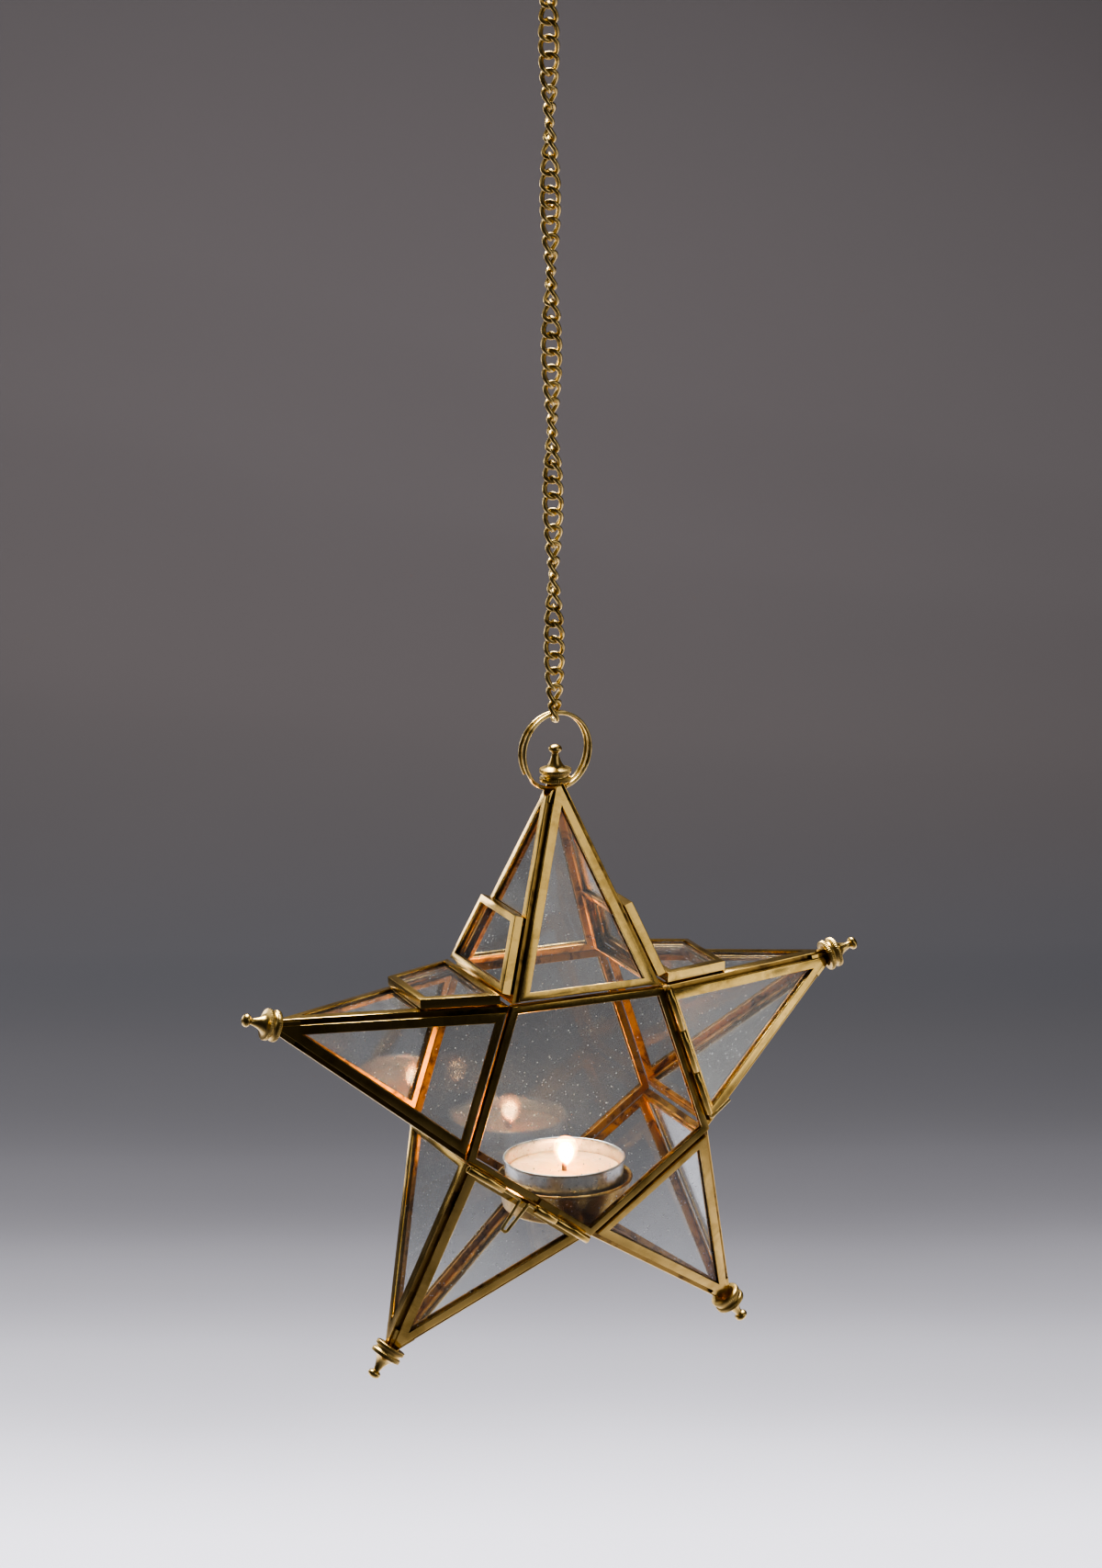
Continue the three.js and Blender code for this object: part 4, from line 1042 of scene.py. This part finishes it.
# Name, foot and tip above the wax, radius, colours, strength and cover of each layer of the flame
FLAME_LAYERS = (
    ("flame", 1.6, 8.2, 1.85, CORE_STOPS, 40.0, 1.0),
    ("flame_mantle", 1.3, 9.0, 2.35, CORE_STOPS, 18.0, 0.3),
    ("flame_glow", 1.0, 9.9, 2.95, GLOW_STOPS, 10.0, 0.16),
    ("flame_haze", 0.7, 11.0, 3.7, GLOW_STOPS, 6.0, 0.07),
)
FLAME_MIDDLE = 6.5


def build_flame():
    for name, foot, tip, radius, stops, strength, cover in FLAME_LAYERS:
        flame_shape(name, WAX_TOP + foot, WAX_TOP + tip, radius, stops, strength, cover)
    data = bpy.data.lights.new("flame_light", "POINT")
    data.energy = 0.17
    data.color = (1.0, 0.55, 0.2)
    data.shadow_soft_size = 0.004
    light = bpy.data.objects.new("flame_light", data)
    light.location = TEALIGHT_PLACE @ Vector((WICK_LEAN / 2, 0, WAX_TOP + FLAME_MIDDLE)) * MM
    light.visible_camera = False
    bpy.context.scene.collection.objects.link(light)
    return light


def keep_light_off(light, pieces):
    """Leaves pieces out of a light's reach."""
    shaded = bpy.data.collections.new("not_lit_by_" + light.name)
    for piece in pieces:
        shaded.objects.link(piece)
    for entry in shaded.collection_objects:
        entry.light_linking.link_state = "EXCLUDE"
    light.light_linking.receiver_collection = shaded


# Glass panes are the solids themselves
def glaze_panes():
    panes = [node for name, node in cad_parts.items() if name.endswith("_pane") or "_pane_by_" in name]
    for pane in panes:
        pane.data.materials.clear()
        pane.data.materials.append(glass)
    return panes


flame_light = build_flame()
build_cup()
foil_piece = build_foil_cup()
wax_piece = build_wax()
build_wick()
keep_light_off(flame_light, [foil_piece, wax_piece] + glaze_panes())


# Studio: paper painted with light and shade, pale under the star, dark in front and darker up the wall; soft
# lights
FLOOR = -0.72
WALL = 2.6
WALL_TOP = 4.0
PAPER_NEAR = -3.0
PAPER_HALF_WIDTH = 5.0
PAPER_BEND = 1.2
PAPER_STEPS = 16
PAPER_FIBRES = 3.0
PAPER_UNEVEN = 0.06
SIGHT = (math.sin(YAW), math.cos(YAW), 0.0)  # away from the viewer, along the floor

# Distance in metres along the view, and how pale the paper is there: painted light and shade, dark in front,
# a bright pool under the star, darker up the wall
PAPER_PAINTED_LIGHT = (
    (-1.2, 0.1), (-0.18, 0.24), (0.21, 0.93), (0.5, 0.88), (0.62, 0.54), (0.74, 0.335), (0.87, 0.175),
    (1.01, 0.104), (1.2, 0.08), (1.4, 0.085), (1.8, 0.125), (2.1, 0.165), (2.3, 0.2), (2.65, 0.25),
)
PAPER_RISE = 1.5  # where the floor begins to run up into the wall
FLOOR_TINT = (0.885, 0.88, 1.0)
WALL_TINT = (0.99, 0.915, 0.965)


def paper_material():
    material, tree, shader = new_material("studio_paper")
    coordinates = add(tree, "ShaderNodeTexCoord").outputs["Object"]
    depth = add(tree, "ShaderNodeVectorMath", operation="DOT_PRODUCT")
    depth.inputs[1].default_value = SIGHT
    tree.links.new(coordinates, depth.inputs[0])
    fibre = noise(tree, coordinates, PAPER_FIBRES, detail=3.0, roughness=0.5)
    uneven = add(tree, "ShaderNodeMath", operation="MULTIPLY_ADD")
    uneven.inputs[1].default_value = PAPER_UNEVEN
    tree.links.new(fibre.outputs["Fac"], uneven.inputs[0])
    tree.links.new(depth.outputs["Value"], uneven.inputs[2])
    near = PAPER_PAINTED_LIGHT[0][0]
    far = PAPER_PAINTED_LIGHT[-1][0]
    run = add(tree, "ShaderNodeMapRange")
    run.inputs["From Min"].default_value = near
    run.inputs["From Max"].default_value = far
    tree.links.new(uneven.outputs["Value"], run.inputs["Value"])
    # The ramp paints the fall of light and shade along the floor and up the wall
    stops = []
    for place, painted_tone in PAPER_PAINTED_LIGHT:
        tint = WALL_TINT if place > PAPER_RISE else FLOOR_TINT
        stops.append(((place - near) / (far - near), [painted_tone * share for share in tint]))
    color = ramp(tree, run.outputs["Result"], stops)
    color.color_ramp.interpolation = "CARDINAL"
    tree.links.new(color.outputs["Color"], shader.inputs["Base Color"])
    shader.inputs["Roughness"].default_value = 0.9
    return material


def build_stage():
    """A sheet of paper that lies on the floor and curves up into the wall."""
    start = WALL - PAPER_BEND
    profile = [(PAPER_NEAR, FLOOR), (start, FLOOR)]
    for i in range(1, PAPER_STEPS + 1):
        angle = math.radians(90 * i / PAPER_STEPS)
        profile.append((start + PAPER_BEND * math.sin(angle), FLOOR + PAPER_BEND * (1 - math.cos(angle))))
    profile.append((WALL, WALL_TOP))
    points = []
    for x in (-PAPER_HALF_WIDTH, PAPER_HALF_WIDTH):
        points += [Vector((x, y, z)) for y, z in profile]
    count = len(profile)
    faces = [[i, i + 1, count + i + 1, count + i] for i in range(count - 1)]
    mesh = bpy.data.meshes.new("paper")
    mesh.from_pydata(points, [], faces)
    mesh.shade_smooth()
    mesh.materials.append(paper_material())
    paper = bpy.data.objects.new("paper", mesh)
    bpy.context.scene.collection.objects.link(paper)


def softbox(name, direction, distance, width, height, power, aim=(0.0, 0.0, 0.0)):
    """A soft light at a distance from the star, facing the star or a point given from there."""
    middle = Vector((0.0, 0.0, STAR_CENTRE * MM))
    data = bpy.data.lights.new(name, "AREA")
    data.shape = "RECTANGLE"
    data.size = width
    data.size_y = height
    data.energy = power
    data.color = (1.0, 0.98, 0.95)
    light = bpy.data.objects.new(name, data)
    light.location = middle + Vector(direction).normalized() * distance
    light.rotation_euler = (middle + Vector(aim) - light.location).to_track_quat("-Z", "Y").to_euler()
    bpy.context.scene.collection.objects.link(light)


build_stage()
# Name, direction from the star, distance, width and height in metres, power in watts
softbox("upper_right_softbox", (0.37, -0.8, 0.46), 1.3, 0.7, 0.9, 1.55)
softbox("right_softbox", (0.88, -0.47, -0.08), 1.3, 0.5, 1.0, 1.55)
softbox("rim_softbox", (-0.22, 0.97, 0.06), 1.5, 0.42, 0.44, 2.0)
softbox("left_softbox", (-0.61, 0.79, 0.3), 1.5, 0.5, 0.8, 1.2)
softbox("top_softbox", (0.0, 0.5, 1.0), 1.7, 1.2, 1.0, 60.0)
softbox("wall_softbox", (0.5, 0.3, 1.0), 1.9, 1.6, 0.6, 13.0, aim=(1.1, 2.2, 0.2))

world = bpy.data.worlds.new("studio")
world.use_nodes = True
world.node_tree.nodes["Background"].inputs["Color"].default_value = (0.1, 0.1, 0.105, 1.0)
world.node_tree.nodes["Background"].inputs["Strength"].default_value = 0.35
bpy.context.scene.world = world
bpy.context.scene.view_settings.look = "AgX - High Contrast"
